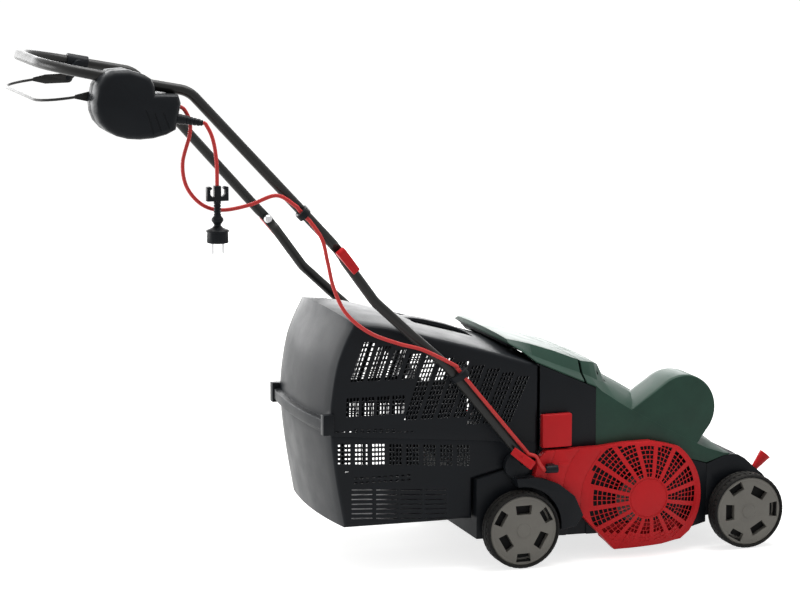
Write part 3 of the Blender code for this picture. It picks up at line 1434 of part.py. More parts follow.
def add_plug_lead():
    """The short mains lead with its cable retainer and plug."""
    edge = (Vector(BOX_CORNER_HIGH) - Vector(BOX_CORNER_LOW)).normalized()
    out = Vector((edge.y, -edge.x))
    start = Vector(BOX_CORNER_LOW) + edge * 0.019 + out * GAP
    direction = (out.x, 0, out.y)
    length = 0.047
    relief = [(0, 0), (0.009, 0), (0.009, 0.008), (0.0055, length), (0, length)]
    origin = (start.x, -PLUG_Y + 0.010, start.y)
    add_piece("lead_relief", aimed(lathe(relief, segments=16), origin, direction), "black_plastic", "upper_handle")
    tip = Vector(origin) + Vector(direction) * (length + 2 * GAP)
    top = 0.7465
    route = [
        *straight_end(tip, direction, 0.005),
        beside(-0.5945, 0.0425, 0.8370),
        beside(-0.5895, 0.0450, 0.8170),
        beside(-0.5870, 0.0480, 0.7930),
        beside(-0.5864, 0.0495, 0.7700),
        (PLUG_X, -PLUG_Y, top + 0.008),
        (PLUG_X, -PLUG_Y, top + 0.004),
        (PLUG_X, -PLUG_Y, top + GAP),
    ]
    add_cord("plug_lead", route, "upper_handle")
    half = [(0.0, 0.7195), (0.0195, 0.7195), (0.0195, 0.7445), (0.0125, 0.7455), (0.0095, 0.7415)]
    half += [(0.0135, 0.7395), (0.0135, 0.7315), (0.0100, 0.7275), (0.0060, 0.7275), (0.0060, top)]
    outline = [(PLUG_X + x, z) for x, z in half[1:]] + [(PLUG_X - x, z) for x, z in half[:0:-1]]
    add_piece(
        "cord_retainer", prism(outline, -PLUG_Y - 0.006, -PLUG_Y + 0.006), "black_plastic", "upper_handle"
    )
    neck_top, face = 0.7195 - GAP, 0.6455
    profile = [
        (0, 0),
        (0.0065, 0),
        (0.0065, neck_top - 0.6930),
        (0.0105, neck_top - 0.6880),
        (0.0105, neck_top - 0.6840),
        (0.0060, neck_top - 0.6765),
        (0.0120, neck_top - 0.6710),
        (0.0205, neck_top - 0.6680),
        (0.0205, neck_top - 0.6650),
        (0.0188, neck_top - 0.6640),
        (0.0193, neck_top - face),
        (0, neck_top - face),
    ]
    pins = [
        aimed(
            lathe([(0, 0), (0.0024, 0), (0.0024, 0.0205), (0.0012, 0.0215), (0, 0.0215)], segments=10),
            (PLUG_X + offset, -PLUG_Y, face + 0.001),
            (0, 0, -1),
        )
        for offset in (-0.0095, 0.0095)
    ]
    add_piece(
        "plug",
        aimed(lathe(profile, segments=20), (PLUG_X, -PLUG_Y, neck_top), (0, 0, -1)),
        "black_plastic",
        "upper_handle",
        ("UNION", merged(*pins)),
    )


def main():
    clear_scene()
    make_materials()
    make_body("chassis")
    make_body("front_crank", CRANK_AXIS[0], 0.0, CRANK_AXIS[1])
    add_deck()
    add_rear_housing()
    add_axle_housing()
    add_hood()
    add_side_covers()
    add_wheel_arches()
    add_running_gear()
    add_depth_lever()
    add_drive()
    add_flap()
    add_catcher()
    add_lower_handle()
    add_upper_handle()
    add_levers()
    add_switch_box()
    add_bail()
    add_fixed_lead()
    add_plug_lead()


main()
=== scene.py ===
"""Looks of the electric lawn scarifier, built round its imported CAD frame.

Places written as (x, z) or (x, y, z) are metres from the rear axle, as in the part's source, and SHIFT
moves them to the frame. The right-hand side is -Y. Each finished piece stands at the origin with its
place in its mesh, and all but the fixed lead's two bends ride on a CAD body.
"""

import json
import math

import bmesh
import bpy
from mathutils import Matrix, Vector


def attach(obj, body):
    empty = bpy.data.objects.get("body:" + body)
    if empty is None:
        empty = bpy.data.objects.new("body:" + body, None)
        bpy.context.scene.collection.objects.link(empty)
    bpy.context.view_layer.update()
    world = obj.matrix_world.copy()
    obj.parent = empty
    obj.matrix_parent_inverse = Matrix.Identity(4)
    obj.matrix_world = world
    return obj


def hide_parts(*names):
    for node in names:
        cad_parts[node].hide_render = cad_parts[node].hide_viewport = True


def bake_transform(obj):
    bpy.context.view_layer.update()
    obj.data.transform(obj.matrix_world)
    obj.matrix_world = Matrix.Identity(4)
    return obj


bl_info = {
    "name": "Lawn Scarifier",
    "version": (1, 0, 0),
    "blender": (4, 5, 0),
    "location": "3D View > Sidebar > Scarifier",
    "description": "Builds the visible pieces, finishes and studio of an electric lawn scarifier",
    "category": "Object",
}

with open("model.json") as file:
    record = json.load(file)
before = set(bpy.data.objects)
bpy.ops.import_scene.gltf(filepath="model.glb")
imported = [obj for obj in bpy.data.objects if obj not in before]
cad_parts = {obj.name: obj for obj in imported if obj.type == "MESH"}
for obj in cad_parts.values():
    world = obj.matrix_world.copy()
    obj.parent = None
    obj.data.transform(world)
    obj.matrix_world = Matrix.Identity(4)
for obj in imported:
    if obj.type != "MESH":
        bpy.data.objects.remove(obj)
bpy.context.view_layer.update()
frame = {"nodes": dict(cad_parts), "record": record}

SHIFT = Vector((0.18, 0.0, 0.0))
SIDES = (("right", -1), ("left", 1))
GAP = 0.0003
WALL = 0.003
WHEEL_RADIUS = 0.0725
WHEELBASE = 0.463
DECK_HALF = 0.190
DECK_TOP = 0.2115
SEAM_X = 0.161
COVER_FACE = 0.2073
COVER_CENTRE = (0.253, 0.109)
COVER_RADIUS = 0.120
VENT_CENTRE = (0.2535, 0.1150)
VENT_DISC = 0.0365
VENT_RADIUS = 0.112
VENT_RISE = 0.0245
MOTOR_AXIS = (0.343, 0.272)
CRANK_AXIS = (0.42411, 0.11139)
LEVER_Y = 0.170
FLAP_HINGE = (0.150, 0.355)
FLAP_FRONT_X = 0.137
FLAP_GAP = 0.0055
CATCHER_HALF = 0.1895
CATCHER_REAR_X = -0.3526
CATCHER_REAR_SHARE = 0.855
CATCHER_SWELL = 0.014
MOUTH_X = 0.045
FAR_RISE = 0.011
PARTING_Z = 0.2330
PARTING_SLOPE = -0.0834
LIP_HEIGHTS = (0.2735, 0.2935)
NEAR_SLOT = 0.0022
FAR_SLOT = 0.0052
TUBE_RADIUS = 0.0095
UPPER_TUBE_Y = 0.2335
LOWER_TUBE_Y = 0.2185
CROSSBAR_Y = 0.202
TUBE_SETBACK = 0.022
BORE_RADIUS = 0.0043
LOWER_BENDS = ((-0.1475, 0.3917), (-0.2174, 0.4540), (-0.288, 0.520))
HANDLE_PIVOT = (0.011, 0.200)
CLAMP = (-0.357, 0.615)
TONGUE_INNER_Y = 0.2205
TONGUE_THICKNESS = 0.005
BOX_OUTER_Y = 0.248
LEAD_RADIUS = 0.0035
LEAD_STANDOFF = 0.0145
LEAD_ENTRY = (0.0430, -0.2280, 0.1850)
PLUG_PLACE = (-0.5865, -0.240)
DUST_COLOUR = (0.23, 0.215, 0.18)
FLOOR_GLOW = 0.72
BACKDROP_GLOW = 1.03
CAMERA_PLACE = (-1.7544, -5.0774, 1.4028)
CAMERA_DIP = 0.169899
CAMERA_TURN = -0.335675
CAMERA_LENS = 129.57

LOOKS = {}
GROUPS = {}


# Sizes and colours that a user may change


def colour(name, description, default):
    return bpy.props.FloatVectorProperty(
        name=name, description=description, default=default, subtype="COLOR", size=3, min=0.0, max=1.0
    )


def length(name, description, default):
    return bpy.props.FloatProperty(
        name=name, description=description, default=default, min=0.0, unit="LENGTH", precision=4
    )


def power(name, description, default):
    return bpy.props.FloatProperty(name=name, description=description, default=default, unit="POWER")


class ScarifierColours(bpy.types.PropertyGroup):
    green: colour("Green plastic", "Hood and flap", (0.020, 0.052, 0.037))
    red: colour("Red plastic", "Belt cover and levers", (0.52, 0.014, 0.018))
    black: colour("Black plastic", "Deck, catcher and switch box", (0.0076, 0.0090, 0.0112))
    grey: colour("Grey plastic", "Wheel hubs", (0.150, 0.143, 0.127))
    rubber: colour("Rubber", "Tyres and belt", (0.012, 0.012, 0.012))
    paint: colour("Tube paint", "Handle tubes and bail", (0.016, 0.016, 0.0155))
    steel: colour("Zinc plated steel", "Axles, bolts and bearings", (0.56, 0.56, 0.57))
    iron: colour("Motor iron", "Motor can and armature", (0.27, 0.28, 0.29))
    lead: colour("Lead sheath", "Mains and motor lead", (0.50, 0.022, 0.020))


class ScarifierSizes(bpy.types.PropertyGroup):
    edge: length("Edge radius", "Rounding of moulded edges", 0.0010)
    grid_bar: length("Grille bar", "Width of the bars in the catcher's grilles", 0.0020)
    vent_bar: length("Vent bar", "Width of the bars in the cover's vent", 0.0013)
    vent_pitch: length("Vent pitch", "Distance from one row of the vent's windows to the next", 0.0082)
    tread_blocks: bpy.props.IntProperty(
        name="Tread blocks", description="Notches round each tyre's shoulder", default=40, min=8, max=80
    )
    round_steps: bpy.props.IntProperty(
        name="Round steps", description="Corners of a full turn on round pieces", default=64, min=16, max=128
    )


class ScarifierStudio(bpy.types.PropertyGroup):
    floor: colour("Floor", "Colour of the floor", (0.62, 0.62, 0.61))
    world: bpy.props.FloatProperty(
        name="World light", description="Level of the even light", default=0.53, min=0.0, max=2.0
    )
    back: power("Back light", "Power of the light behind the machine", 150.0)
    top: power("Top light", "Power of the light above the machine", 115.0)
    rear: power("Rear light", "Power of the light at the catcher's end", 68.0)


# Modelling by hand


def clear_selection():
    if bpy.context.mode != "OBJECT":
        bpy.ops.object.mode_set(mode="OBJECT")
    bpy.ops.object.select_all(action="DESELECT")


def select(*objects):
    clear_selection()
    for obj in objects:
        obj.select_set(True)
    bpy.context.view_layer.objects.active = objects[0]


def edit(obj):
    """Opens the object for editing with all of it selected."""
    select(obj)
    bpy.ops.object.mode_set(mode="EDIT")
    bpy.ops.mesh.select_all(action="SELECT")
    return bmesh.from_edit_mesh(obj.data)


def close_edit():
    bpy.ops.object.mode_set(mode="OBJECT")


def wire_ring(name, points, shift=SHIFT):
    """A closed loop of edges through 3-D points, pulled out of a circle with as many corners."""
    clear_selection()
    bpy.ops.mesh.primitive_circle_add(vertices=len(points), radius=0.01, location=(0, 0, 0))
    obj = bpy.context.object
    obj.name = name
    for vertex, point in zip(obj.data.vertices, points):
        vertex.co = Vector(point) + shift
    return obj


def loft(name, rings, capped=True, shift=SHIFT):
    """A skin that is extruded from ring to ring; every ring has as many points."""
    obj = wire_ring(name, rings[0], shift)
    work = edit(obj)
    spot = work.verts.layers.int.new("spot")
    for number, vertex in enumerate(work.verts):
        vertex[spot] = number
    bmesh.update_edit_mesh(obj.data)
    if capped:
        bpy.ops.mesh.edge_face_add()
    for ring in rings[1:]:
        bpy.ops.mesh.extrude_region_move()
        work = bmesh.from_edit_mesh(obj.data)
        spot = work.verts.layers.int["spot"]
        for vertex in work.verts:
            if vertex.select:
                vertex.co = Vector(ring[vertex[spot]]) + shift
    bmesh.update_edit_mesh(obj.data)
    bpy.ops.mesh.select_all(action="SELECT")
    if capped:
        bpy.ops.mesh.normals_make_consistent(inside=False)
    close_edit()
    obj.data.attributes.remove(obj.data.attributes["spot"])
    return obj


def slab(name, outline, y0, y1):
    """A plate with an (x, z) outline between two heights along Y."""
    return loft(name, [[(x, y, z) for x, z in outline] for y in (y0, y1)])


def block(name, x0, x1, y0, y1, z0, z1):
    return slab(name, [(x0, z0), (x1, z0), (x1, z1), (x0, z1)], y0, y1)


def blocks(name, outlines, y0, y1):
    """Many plates in one object, extruded together; a corner may bring its own start along Y."""
    placed = [[p if len(p) == 3 else (p[0], y0, p[1]) for p in outline] for outline in outlines]
    obj = wire_ring(name, placed[0])
    work = edit(obj)
    bpy.ops.mesh.edge_face_add()
    work = bmesh.from_edit_mesh(obj.data)
    for outline in placed[1:]:
        work.faces.new([work.verts.new(Vector(point) + SHIFT) for point in outline])
    bmesh.update_edit_mesh(obj.data)
    bpy.ops.mesh.select_all(action="SELECT")
    bpy.ops.mesh.extrude_region_move(TRANSFORM_OT_translate={"value": (0, y1 - y0, 0)})
    bpy.ops.mesh.select_all(action="SELECT")
    bpy.ops.mesh.normals_make_consistent(inside=False)
    close_edit()
    return obj


def turned(name, profile, axis=(0.0, 0.0), steps=None, closed=False, shift=SHIFT):
    """Spins (radius, y) points about a line along Y; a closed profile keeps a bore."""
    steps = steps or bpy.context.scene.scarifier_sizes.round_steps
    obj = wire_ring(name, [(axis[0] + radius, y, axis[1]) for radius, y in profile], shift)
    work = edit(obj)
    if not closed:
        work.verts.ensure_lookup_table()
        last = len(work.verts) - 1
        bpy.ops.mesh.select_all(action="DESELECT")
        bpy.ops.mesh.select_mode(type="EDGE")
        work = bmesh.from_edit_mesh(obj.data)
        for line in work.edges:
            line.select_set({vertex.index for vertex in line.verts} == {0, last})
        bmesh.update_edit_mesh(obj.data)
        bpy.ops.mesh.delete(type="EDGE_FACE")
        bpy.ops.mesh.select_mode(type="VERT")
        bpy.ops.mesh.select_all(action="SELECT")
    centre = Vector((axis[0], 0.0, axis[1])) + shift
    bpy.ops.mesh.spin(steps=steps, angle=2 * math.pi, center=centre, axis=(0, 1, 0))
    bpy.ops.mesh.select_all(action="SELECT")
    bpy.ops.mesh.remove_doubles(threshold=0.00001)
    bpy.ops.mesh.normals_make_consistent(inside=False)
    close_edit()
    return obj


def rod(name, radius, y0, y1, axis, steps):
    """A round bar along Y, for cutting a bore."""
    return turned(name, [(0, y0), (radius, y0), (radius, y1), (0, y1)], axis, steps)


def aimed(obj, origin, direction):
    """Turns a piece that was made along +Y from the origin and sets it in its place."""
    turn = Vector((0, 1, 0)).rotation_difference(Vector(direction)).to_matrix().to_4x4()
    obj.matrix_world = Matrix.Translation(Vector(origin) + SHIFT) @ turn
    select(obj)
    bpy.ops.object.transform_apply(location=True, rotation=True, scale=True)
    return obj


def combine(obj, tool, operation="DIFFERENCE"):
    select(obj)
    modifier = obj.modifiers.new("combine", "BOOLEAN")
    modifier.operation = operation
    modifier.solver = "EXACT"
    modifier.object = tool
    bpy.ops.object.modifier_apply(modifier=modifier.name)
    bpy.data.objects.remove(tool)


def join(name, *objects):
    select(*objects)
    bpy.ops.object.join()
    objects[0].name = name
    return objects[0]


def smooth(obj, angle=34.0):
    select(obj)
    bpy.ops.object.shade_smooth_by_angle(angle=math.radians(angle))
    return obj


def soften(obj, width, segments=2, angle=30.0, shade=34.0):
    """Rounds the edges that are sharper than an angle and smooths the shading."""
    select(obj)
    modifier = obj.modifiers.new("soften", "BEVEL")
    modifier.width = width
    modifier.segments = segments
    modifier.limit_method = "ANGLE"
    modifier.angle_limit = math.radians(angle)
    bpy.ops.object.modifier_apply(modifier=modifier.name)
    return smooth(obj, shade)


def tidy_copy(node, name):
    """A copy of a CAD node with its loose triangles merged into whole faces."""
    obj = bpy.data.objects.new(name, frame["nodes"][node].data.copy())
    bpy.context.scene.collection.objects.link(obj)
    select(obj)
    bpy.ops.mesh.customdata_custom_splitnormals_clear()
    edit(obj)
    bpy.ops.mesh.remove_doubles(threshold=0.00002)
    bpy.ops.mesh.dissolve_limited(angle_limit=math.radians(0.8))
    close_edit()
    return obj


def moved_copy(obj, name, matrix):
    """A copy with its own mesh, moved by a matrix; a mirror turns its faces back outwards."""
    copy = bpy.data.objects.new(name, obj.data.copy())
    bpy.context.scene.collection.objects.link(copy)
    copy.data.transform(matrix)
    if matrix.determinant() < 0:
        copy.data.flip_normals()
    return copy


def set_look(obj, look):
    obj.data.materials.clear()
    obj.data.materials.append(LOOKS[look])


def dress(obj, look, body, *nodes, slot=None):
    """Gives a finished piece its finish and its body, and hides the nodes that it stands for; its slot is not
    used.
    """
    slot = slot or look
    set_look(obj, look)
    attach(obj, body)
    if nodes:
        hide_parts(*nodes)


def dress_copy(node, look, body, width, segments, angle=30.0, name=None):
    """Rounds the edges of a CAD node's copy and dresses it in that node's place."""
    piece = soften(tidy_copy(node, name or node + "_look"), width, segments, angle)
    dress(piece, look, body, node)
    return piece


# Lines and outlines


def arc(centre, radius, start, end, steps):
    """Points on an arc in the XZ plane, angles in degrees."""
    angles = [math.radians(start + (end - start) * i / steps) for i in range(steps + 1)]
    return [(centre[0] + radius * math.cos(a), centre[1] + radius * math.sin(a)) for a in angles]


def capsule(start, end, radius, steps=12):
    """The outline of a bar with round ends between two (x, z) points."""
    angle = math.degrees(math.atan2(end[1] - start[1], end[0] - start[0]))
    return arc(end, radius, angle - 90, angle + 90, steps) + arc(start, radius, angle + 90, angle + 270, steps)


def inset(outline, distance):
    """The outline moved inwards by a distance, for either direction of travel."""
    area = sum(a[0] * b[1] - b[0] * a[1] for a, b in zip(outline, outline[1:] + outline[:1]))
    turn = 1 if area > 0 else -1
    moved = []
    for i, here in enumerate(outline):
        before = Vector(here) - Vector(outline[i - 1])
        after = Vector(outline[(i + 1) % len(outline)]) - Vector(here)
        n1 = turn * Vector((-before.y, before.x)).normalized()
        n2 = turn * Vector((-after.y, after.x)).normalized()
        both = (n1 + n2).normalized()
        point = Vector(here) + both * distance / max(both.dot(n1), 0.35)
        moved.append((point.x, point.y))
    return moved


def reach(outline, centre, angle):
    """How far a ray from the centre goes before it meets the outline."""
    direction = Vector((math.cos(angle), math.sin(angle)))
    best = 1.0
    for a, b in zip(outline, outline[1:] + outline[:1]):
        start, edge = Vector(a) - Vector(centre), Vector(b) - Vector(a)
        cross = direction.x * edge.y - direction.y * edge.x
        if abs(cross) < 1e-12:
            continue
        along = (start.x * edge.y - start.y * edge.x) / cross
        share = (start.x * direction.y - start.y * direction.x) / cross
        if along > 0 and 0 <= share <= 1:
            best = min(best, along)
    return best


def strip(points, width, steps=4):
    """The outline of a narrow band along a smooth (x, z) line."""
    line = curve_through(points, steps)
    left, right = [], []
    for i, here in enumerate(line):
        ahead = (line[min(i + 1, len(line) - 1)] - line[max(i - 1, 0)]).normalized()
        out = Vector((-ahead.y, ahead.x)) * width / 2
        left.append(tuple(here + out))
        right.append(tuple(here - out))
    return left + right[::-1]


def curve_through(points, steps):
    """A smooth open line through points of any dimension, with a few steps between each two."""
    p = [Vector(q) for q in points]
    p = [2 * p[0] - p[1]] + p + [2 * p[-1] - p[-2]]
    fine = []
    for i in range(1, len(p) - 2):
        for k in range(steps):
            t = k / steps
            fine.append(
                0.5
                * (
                    2 * p[i]
                    + (p[i + 1] - p[i - 1]) * t
                    + (2 * p[i - 1] - 5 * p[i] + 4 * p[i + 1] - p[i + 2]) * t**2
                    + (3 * p[i] - p[i - 1] - 3 * p[i + 1] + p[i + 2]) * t**3
                )
            )
    return fine + [p[-2]]


def flat_curve(points, steps):
    return [(p.x, p.y) for p in curve_through(points, steps)]


def span(sign, near, far):
    """Two places along Y on one side of the middle, the lower first."""
    return sorted((sign * near, sign * far))


def even_line(points, spacing):
    """The same line with its points a fixed distance apart."""
    total = sum((b - a).length for a, b in zip(points, points[1:]))
    count = max(3, round(total / spacing))
    even, walked, target = [points[0]], 0.0, total / count
    for a, b in zip(points, points[1:]):
        step = (b - a).length
        while walked + step >= target and len(even) < count:
            even.append(a.lerp(b, (target - walked) / step))
            target += total / count
        walked += step
    return even + [points[-1]]


def rounded(corners, radii, steps=12):
    """A path through 3-D corners with each inner corner turned on its radius."""
    path = [Vector(corners[0])]
    for i in range(1, len(corners) - 1):
        here = Vector(corners[i])
        back = (Vector(corners[i - 1]) - here).normalized()
        ahead = (Vector(corners[i + 1]) - here).normalized()
        half = back.angle(ahead) / 2
        trim = radii[i - 1] / math.tan(half)
        centre = here + (back + ahead).normalized() * radii[i - 1] / math.sin(half)
        first, last = here + back * trim - centre, here + ahead * trim - centre
        turn = first.angle(last)
        for k in range(steps + 1):
            share = k / steps
            spoke = first * math.sin((1 - share) * turn) + last * math.sin(share * turn)
            path.append(centre + spoke / math.sin(turn))
    path.append(Vector(corners[-1]))
    return path


def path_rings(path, radius, sides=24):
    """Circles round a path, each square to it."""
    rings, side = [], None
    for i, here in enumerate(path):
        ahead = (path[min(i + 1, len(path) - 1)] - path[max(i - 1, 0)]).normalized()
        if side is None:
            side = ahead.orthogonal().normalized()
        side = (side - ahead * side.dot(ahead)).normalized()
        up = ahead.cross(side)
        angles = [2 * math.pi * k / sides for k in range(sides)]
        rings.append([tuple(here + radius * (side * math.cos(a) + up * math.sin(a))) for a in angles])
    return rings


def bar(name, path, radius, sides=24):
    return loft(name, path_rings(path, radius, sides))


def seam_z(x):
    return 0.3810 - 0.450 * (x - 0.039)


def ledge_z(x):
    return 0.1855 + 0.2474 * x


# Finishes


def new_group(name, inputs, outputs):
    group = bpy.data.node_groups.new(name, "ShaderNodeTree")
    for label, kind, default in inputs:
        socket = group.interface.new_socket(label, in_out="INPUT", socket_type=kind)
        if default is not None:
            socket.default_value = default
    for label, kind in outputs:
        group.interface.new_socket(label, in_out="OUTPUT", socket_type=kind)
    GROUPS[name] = group
    return group, group.nodes.new("NodeGroupInput"), group.nodes.new("NodeGroupOutput")


def maths(tree, operation, first, second=None, clamp=False):
    node = tree.nodes.new("ShaderNodeMath")
    node.operation = operation
    node.use_clamp = clamp
    for socket, value in zip(node.inputs, (first, second)):
        if isinstance(value, bpy.types.NodeSocket):
            tree.links.new(value, socket)
        elif value is not None:
            socket.default_value = value
    return node.outputs[0]


def noise(tree, vector, scale, detail=2.0, roughness=0.5):
    node = tree.nodes.new("ShaderNodeTexNoise")
    node.inputs["Detail"].default_value = detail
    node.inputs["Roughness"].default_value = roughness
    tree.links.new(vector, node.inputs["Vector"])
    if isinstance(scale, bpy.types.NodeSocket):
        tree.links.new(scale, node.inputs["Scale"])
    else:
        node.inputs["Scale"].default_value = scale
    return node.outputs["Fac"]


def spread(tree, value, low, high, to_low=0.0, to_high=1.0):
    node = tree.nodes.new("ShaderNodeMapRange")
    tree.links.new(value, node.inputs["Value"])
    for label, number in (("From Min", low), ("From Max", high), ("To Min", to_low), ("To Max", to_high)):
        node.inputs[label].default_value = number
    return node.outputs["Result"]


def make_groups():
    """Moulded grain, worn edges and settled dust, which the finishes share."""
    scalar = "NodeSocketFloat"
    tree, start, end = new_group(
        "Moulded grain",
        [("Vector", "NodeSocketVector", None), ("Grain Size", scalar, 0.0007)],
        [("Height", scalar), ("Patches", scalar)],
    )
    scale = maths(tree, "DIVIDE", 1.0, start.outputs["Grain Size"])
    fine = noise(tree, start.outputs["Vector"], scale, 3.0, 0.6)
    cells = tree.nodes.new("ShaderNodeTexVoronoi")
    cells.feature = "SMOOTH_F1"
    tree.links.new(start.outputs["Vector"], cells.inputs["Vector"])
    tree.links.new(scale, cells.inputs["Scale"])
    mix = maths(tree, "ADD", fine, cells.outputs["Distance"])
    tree.links.new(mix, end.inputs["Height"])
    wide = noise(tree, start.outputs["Vector"], 14.0, 4.0, 0.6)
    tree.links.new(spread(tree, wide, 0.32, 0.68), end.inputs["Patches"])

    tree, start, end = new_group(
        "Worn edges",
        [("Vector", "NodeSocketVector", None), ("Radius", scalar, 0.0012), ("Amount", scalar, 1.0)],
        [("Mask", scalar)],
    )
    bevel = tree.nodes.new("ShaderNodeBevel")
    bevel.samples = 4
    tree.links.new(start.outputs["Radius"], bevel.inputs["Radius"])
    geometry = tree.nodes.new("ShaderNodeNewGeometry")
    dot = tree.nodes.new("ShaderNodeVectorMath")
    dot.operation = "DOT_PRODUCT"
    tree.links.new(bevel.outputs["Normal"], dot.inputs[0])
    tree.links.new(geometry.outputs["Normal"], dot.inputs[1])
    edge = spread(tree, maths(tree, "SUBTRACT", 1.0, dot.outputs["Value"]), 0.01, 0.14)
    chips = spread(tree, noise(tree, start.outputs["Vector"], 160.0, 4.0, 0.65), 0.38, 0.66)
    mask = maths(tree, "MULTIPLY", maths(tree, "MULTIPLY", edge, chips), start.outputs["Amount"], clamp=True)
    tree.links.new(mask, end.inputs["Mask"])

    tree, start, end = new_group(
        "Settled dust",
        [("Vector", "NodeSocketVector", None), ("Amount", scalar, 0.3)],
        [("Mask", scalar)],
    )
    geometry = tree.nodes.new("ShaderNodeNewGeometry")
    parts = tree.nodes.new("ShaderNodeSeparateXYZ")
    tree.links.new(geometry.outputs["Normal"], parts.inputs[0])
    upward = spread(tree, parts.outputs["Z"], 0.1, 1.0)
    cloud = spread(tree, noise(tree, start.outputs["Vector"], 34.0, 5.0, 0.7), 0.30, 0.75)
    mask = maths(tree, "MULTIPLY", maths(tree, "MULTIPLY", upward, cloud), start.outputs["Amount"], clamp=True)
    tree.links.new(mask, end.inputs["Mask"])


def place_group(tree, name, vector, **values):
    node = tree.nodes.new("ShaderNodeGroup")
    node.node_tree = GROUPS[name]
    tree.links.new(vector, node.inputs["Vector"])
    for label, value in values.items():
        node.inputs[label.replace("_", " ")].default_value = value
    return node


def mix_colour(tree, factor, first, second):
    node = tree.nodes.new("ShaderNodeMix")
    node.data_type = "RGBA"
    tree.links.new(factor, node.inputs["Factor"])
    for socket, value in ((node.inputs[6], first), (node.inputs[7], second)):
        if isinstance(value, bpy.types.NodeSocket):
            tree.links.new(value, socket)
        else:
            socket.default_value = (*value, 1.0)
    return node.outputs[2]


def make_look(
    name,
    base,
    roughness,
    metallic=0.0,
    specular=0.5,
    grain=0.0007,
    depth=0.00004,
    variation=0.12,
    wear=0.5,
    worn=None,
    dust=0.10,
):
    """One finish: base colour with soft patches, worn edges, dust and a fine moulded grain."""
    material = bpy.data.materials.new(name)
    material.use_nodes = True
    material.diffuse_color = (*base, 1.0)
    tree = material.node_tree
    shader = tree.nodes["Principled BSDF"]
    vector = tree.nodes.new("ShaderNodeTexCoord").outputs["Object"]
    moulded = place_group(tree, "Moulded grain", vector, Grain_Size=grain)
    edges = place_group(tree, "Worn edges", vector, Amount=wear)
    settled = place_group(tree, "Settled dust", vector, Amount=dust)
    dark = tuple(c * (1 - variation) for c in base)
    light = tuple(min(1.0, c * (1 + variation)) for c in base)
    shade = mix_colour(tree, moulded.outputs["Patches"], dark, light)
    worn = worn or tuple(min(1.0, c * 2.2 + 0.015) for c in base)
    shade = mix_colour(tree, edges.outputs["Mask"], shade, worn)
    shade = mix_colour(tree, settled.outputs["Mask"], shade, DUST_COLOUR)
    tree.links.new(shade, shader.inputs["Base Color"])
    rough = spread(tree, moulded.outputs["Patches"], 0.0, 1.0, roughness - 0.05, roughness + 0.06)
    rough = maths(tree, "ADD", rough, maths(tree, "MULTIPLY", settled.outputs["Mask"], 0.3), clamp=True)
    tree.links.new(rough, shader.inputs["Roughness"])
    bump = tree.nodes.new("ShaderNodeBump")
    bump.inputs["Strength"].default_value = 0.6
    bump.inputs["Distance"].default_value = depth
    tree.links.new(moulded.outputs["Height"], bump.inputs["Height"])
    tree.links.new(bump.outputs["Normal"], shader.inputs["Normal"])
    shader.inputs["Metallic"].default_value = metallic
    shader.inputs["Specular IOR Level"].default_value = specular
    LOOKS[name] = material


class SCARIFIER_OT_looks(bpy.types.Operator):
    """Make the finishes and give them to the CAD nodes"""

    bl_idname = "scarifier.looks"
    bl_label = "Finishes"

    def execute(self, context):
        tone = context.scene.scarifier_colours
        make_groups()
        make_look("green_plastic", tone.green, 0.34, specular=0.14, grain=0.0006, wear=0.35, dust=0.05)
        make_look(
            "red_plastic", tone.red, 0.36,
            specular=0.14, variation=0.06, wear=0.3, worn=(0.62, 0.10, 0.09), dust=0.04,
        )
        make_look("black_plastic", tone.black, 0.38, specular=0.10, grain=0.0008, wear=0.4, dust=0.03)
        make_look("grey_plastic", tone.grey, 0.55, specular=0.35, wear=0.5, worn=(0.24, 0.23, 0.21), dust=0.16)
        make_look("rubber", tone.rubber, 0.70, specular=0.10, grain=0.0012, depth=0.0001, wear=0.7, dust=0.15)
        make_look(
            "black_paint", tone.paint, 0.32,
            specular=0.20, depth=0.00002, wear=0.4, worn=(0.20, 0.20, 0.19), dust=0.02,
        )
        make_look("bright_steel", tone.steel, 0.32, metallic=1.0, depth=0.00002, wear=0.2, dust=0.05)
        make_look("motor_iron", tone.iron, 0.45, metallic=0.9, grain=0.0010, wear=0.4)
        make_look("red_lead", tone.lead, 0.46, specular=0.4, grain=0.0009, variation=0.08, wear=0.0, dust=0.04)
        chosen = {row["node"]: row["material_slot"] for row in frame["record"]["subparts"]}
        for node, slot in chosen.items():
            look = {"black_tube": "black_paint", "black_steel": "black_paint"}.get(slot, slot)
            set_look(frame["nodes"][node], look)
        return {"FINISHED"}


# Wheels


def wheel_notches(count):
    """Small wedges round both shoulders of the tyre, for a cutter."""
    outlines = []
    for k in range(count):
        middle = 2 * math.pi * k / count
        half = math.pi / count * 0.36
        corners = ((0.0713, -half), (0.0760, -half * 1.3), (0.0760, half * 1.3), (0.0713, half))
        placed = [(r, middle + a) for r, a in corners]
        outlines.append([(r * math.cos(a), WHEEL_RADIUS + r * math.sin(a)) for r, a in placed])
    return outlines


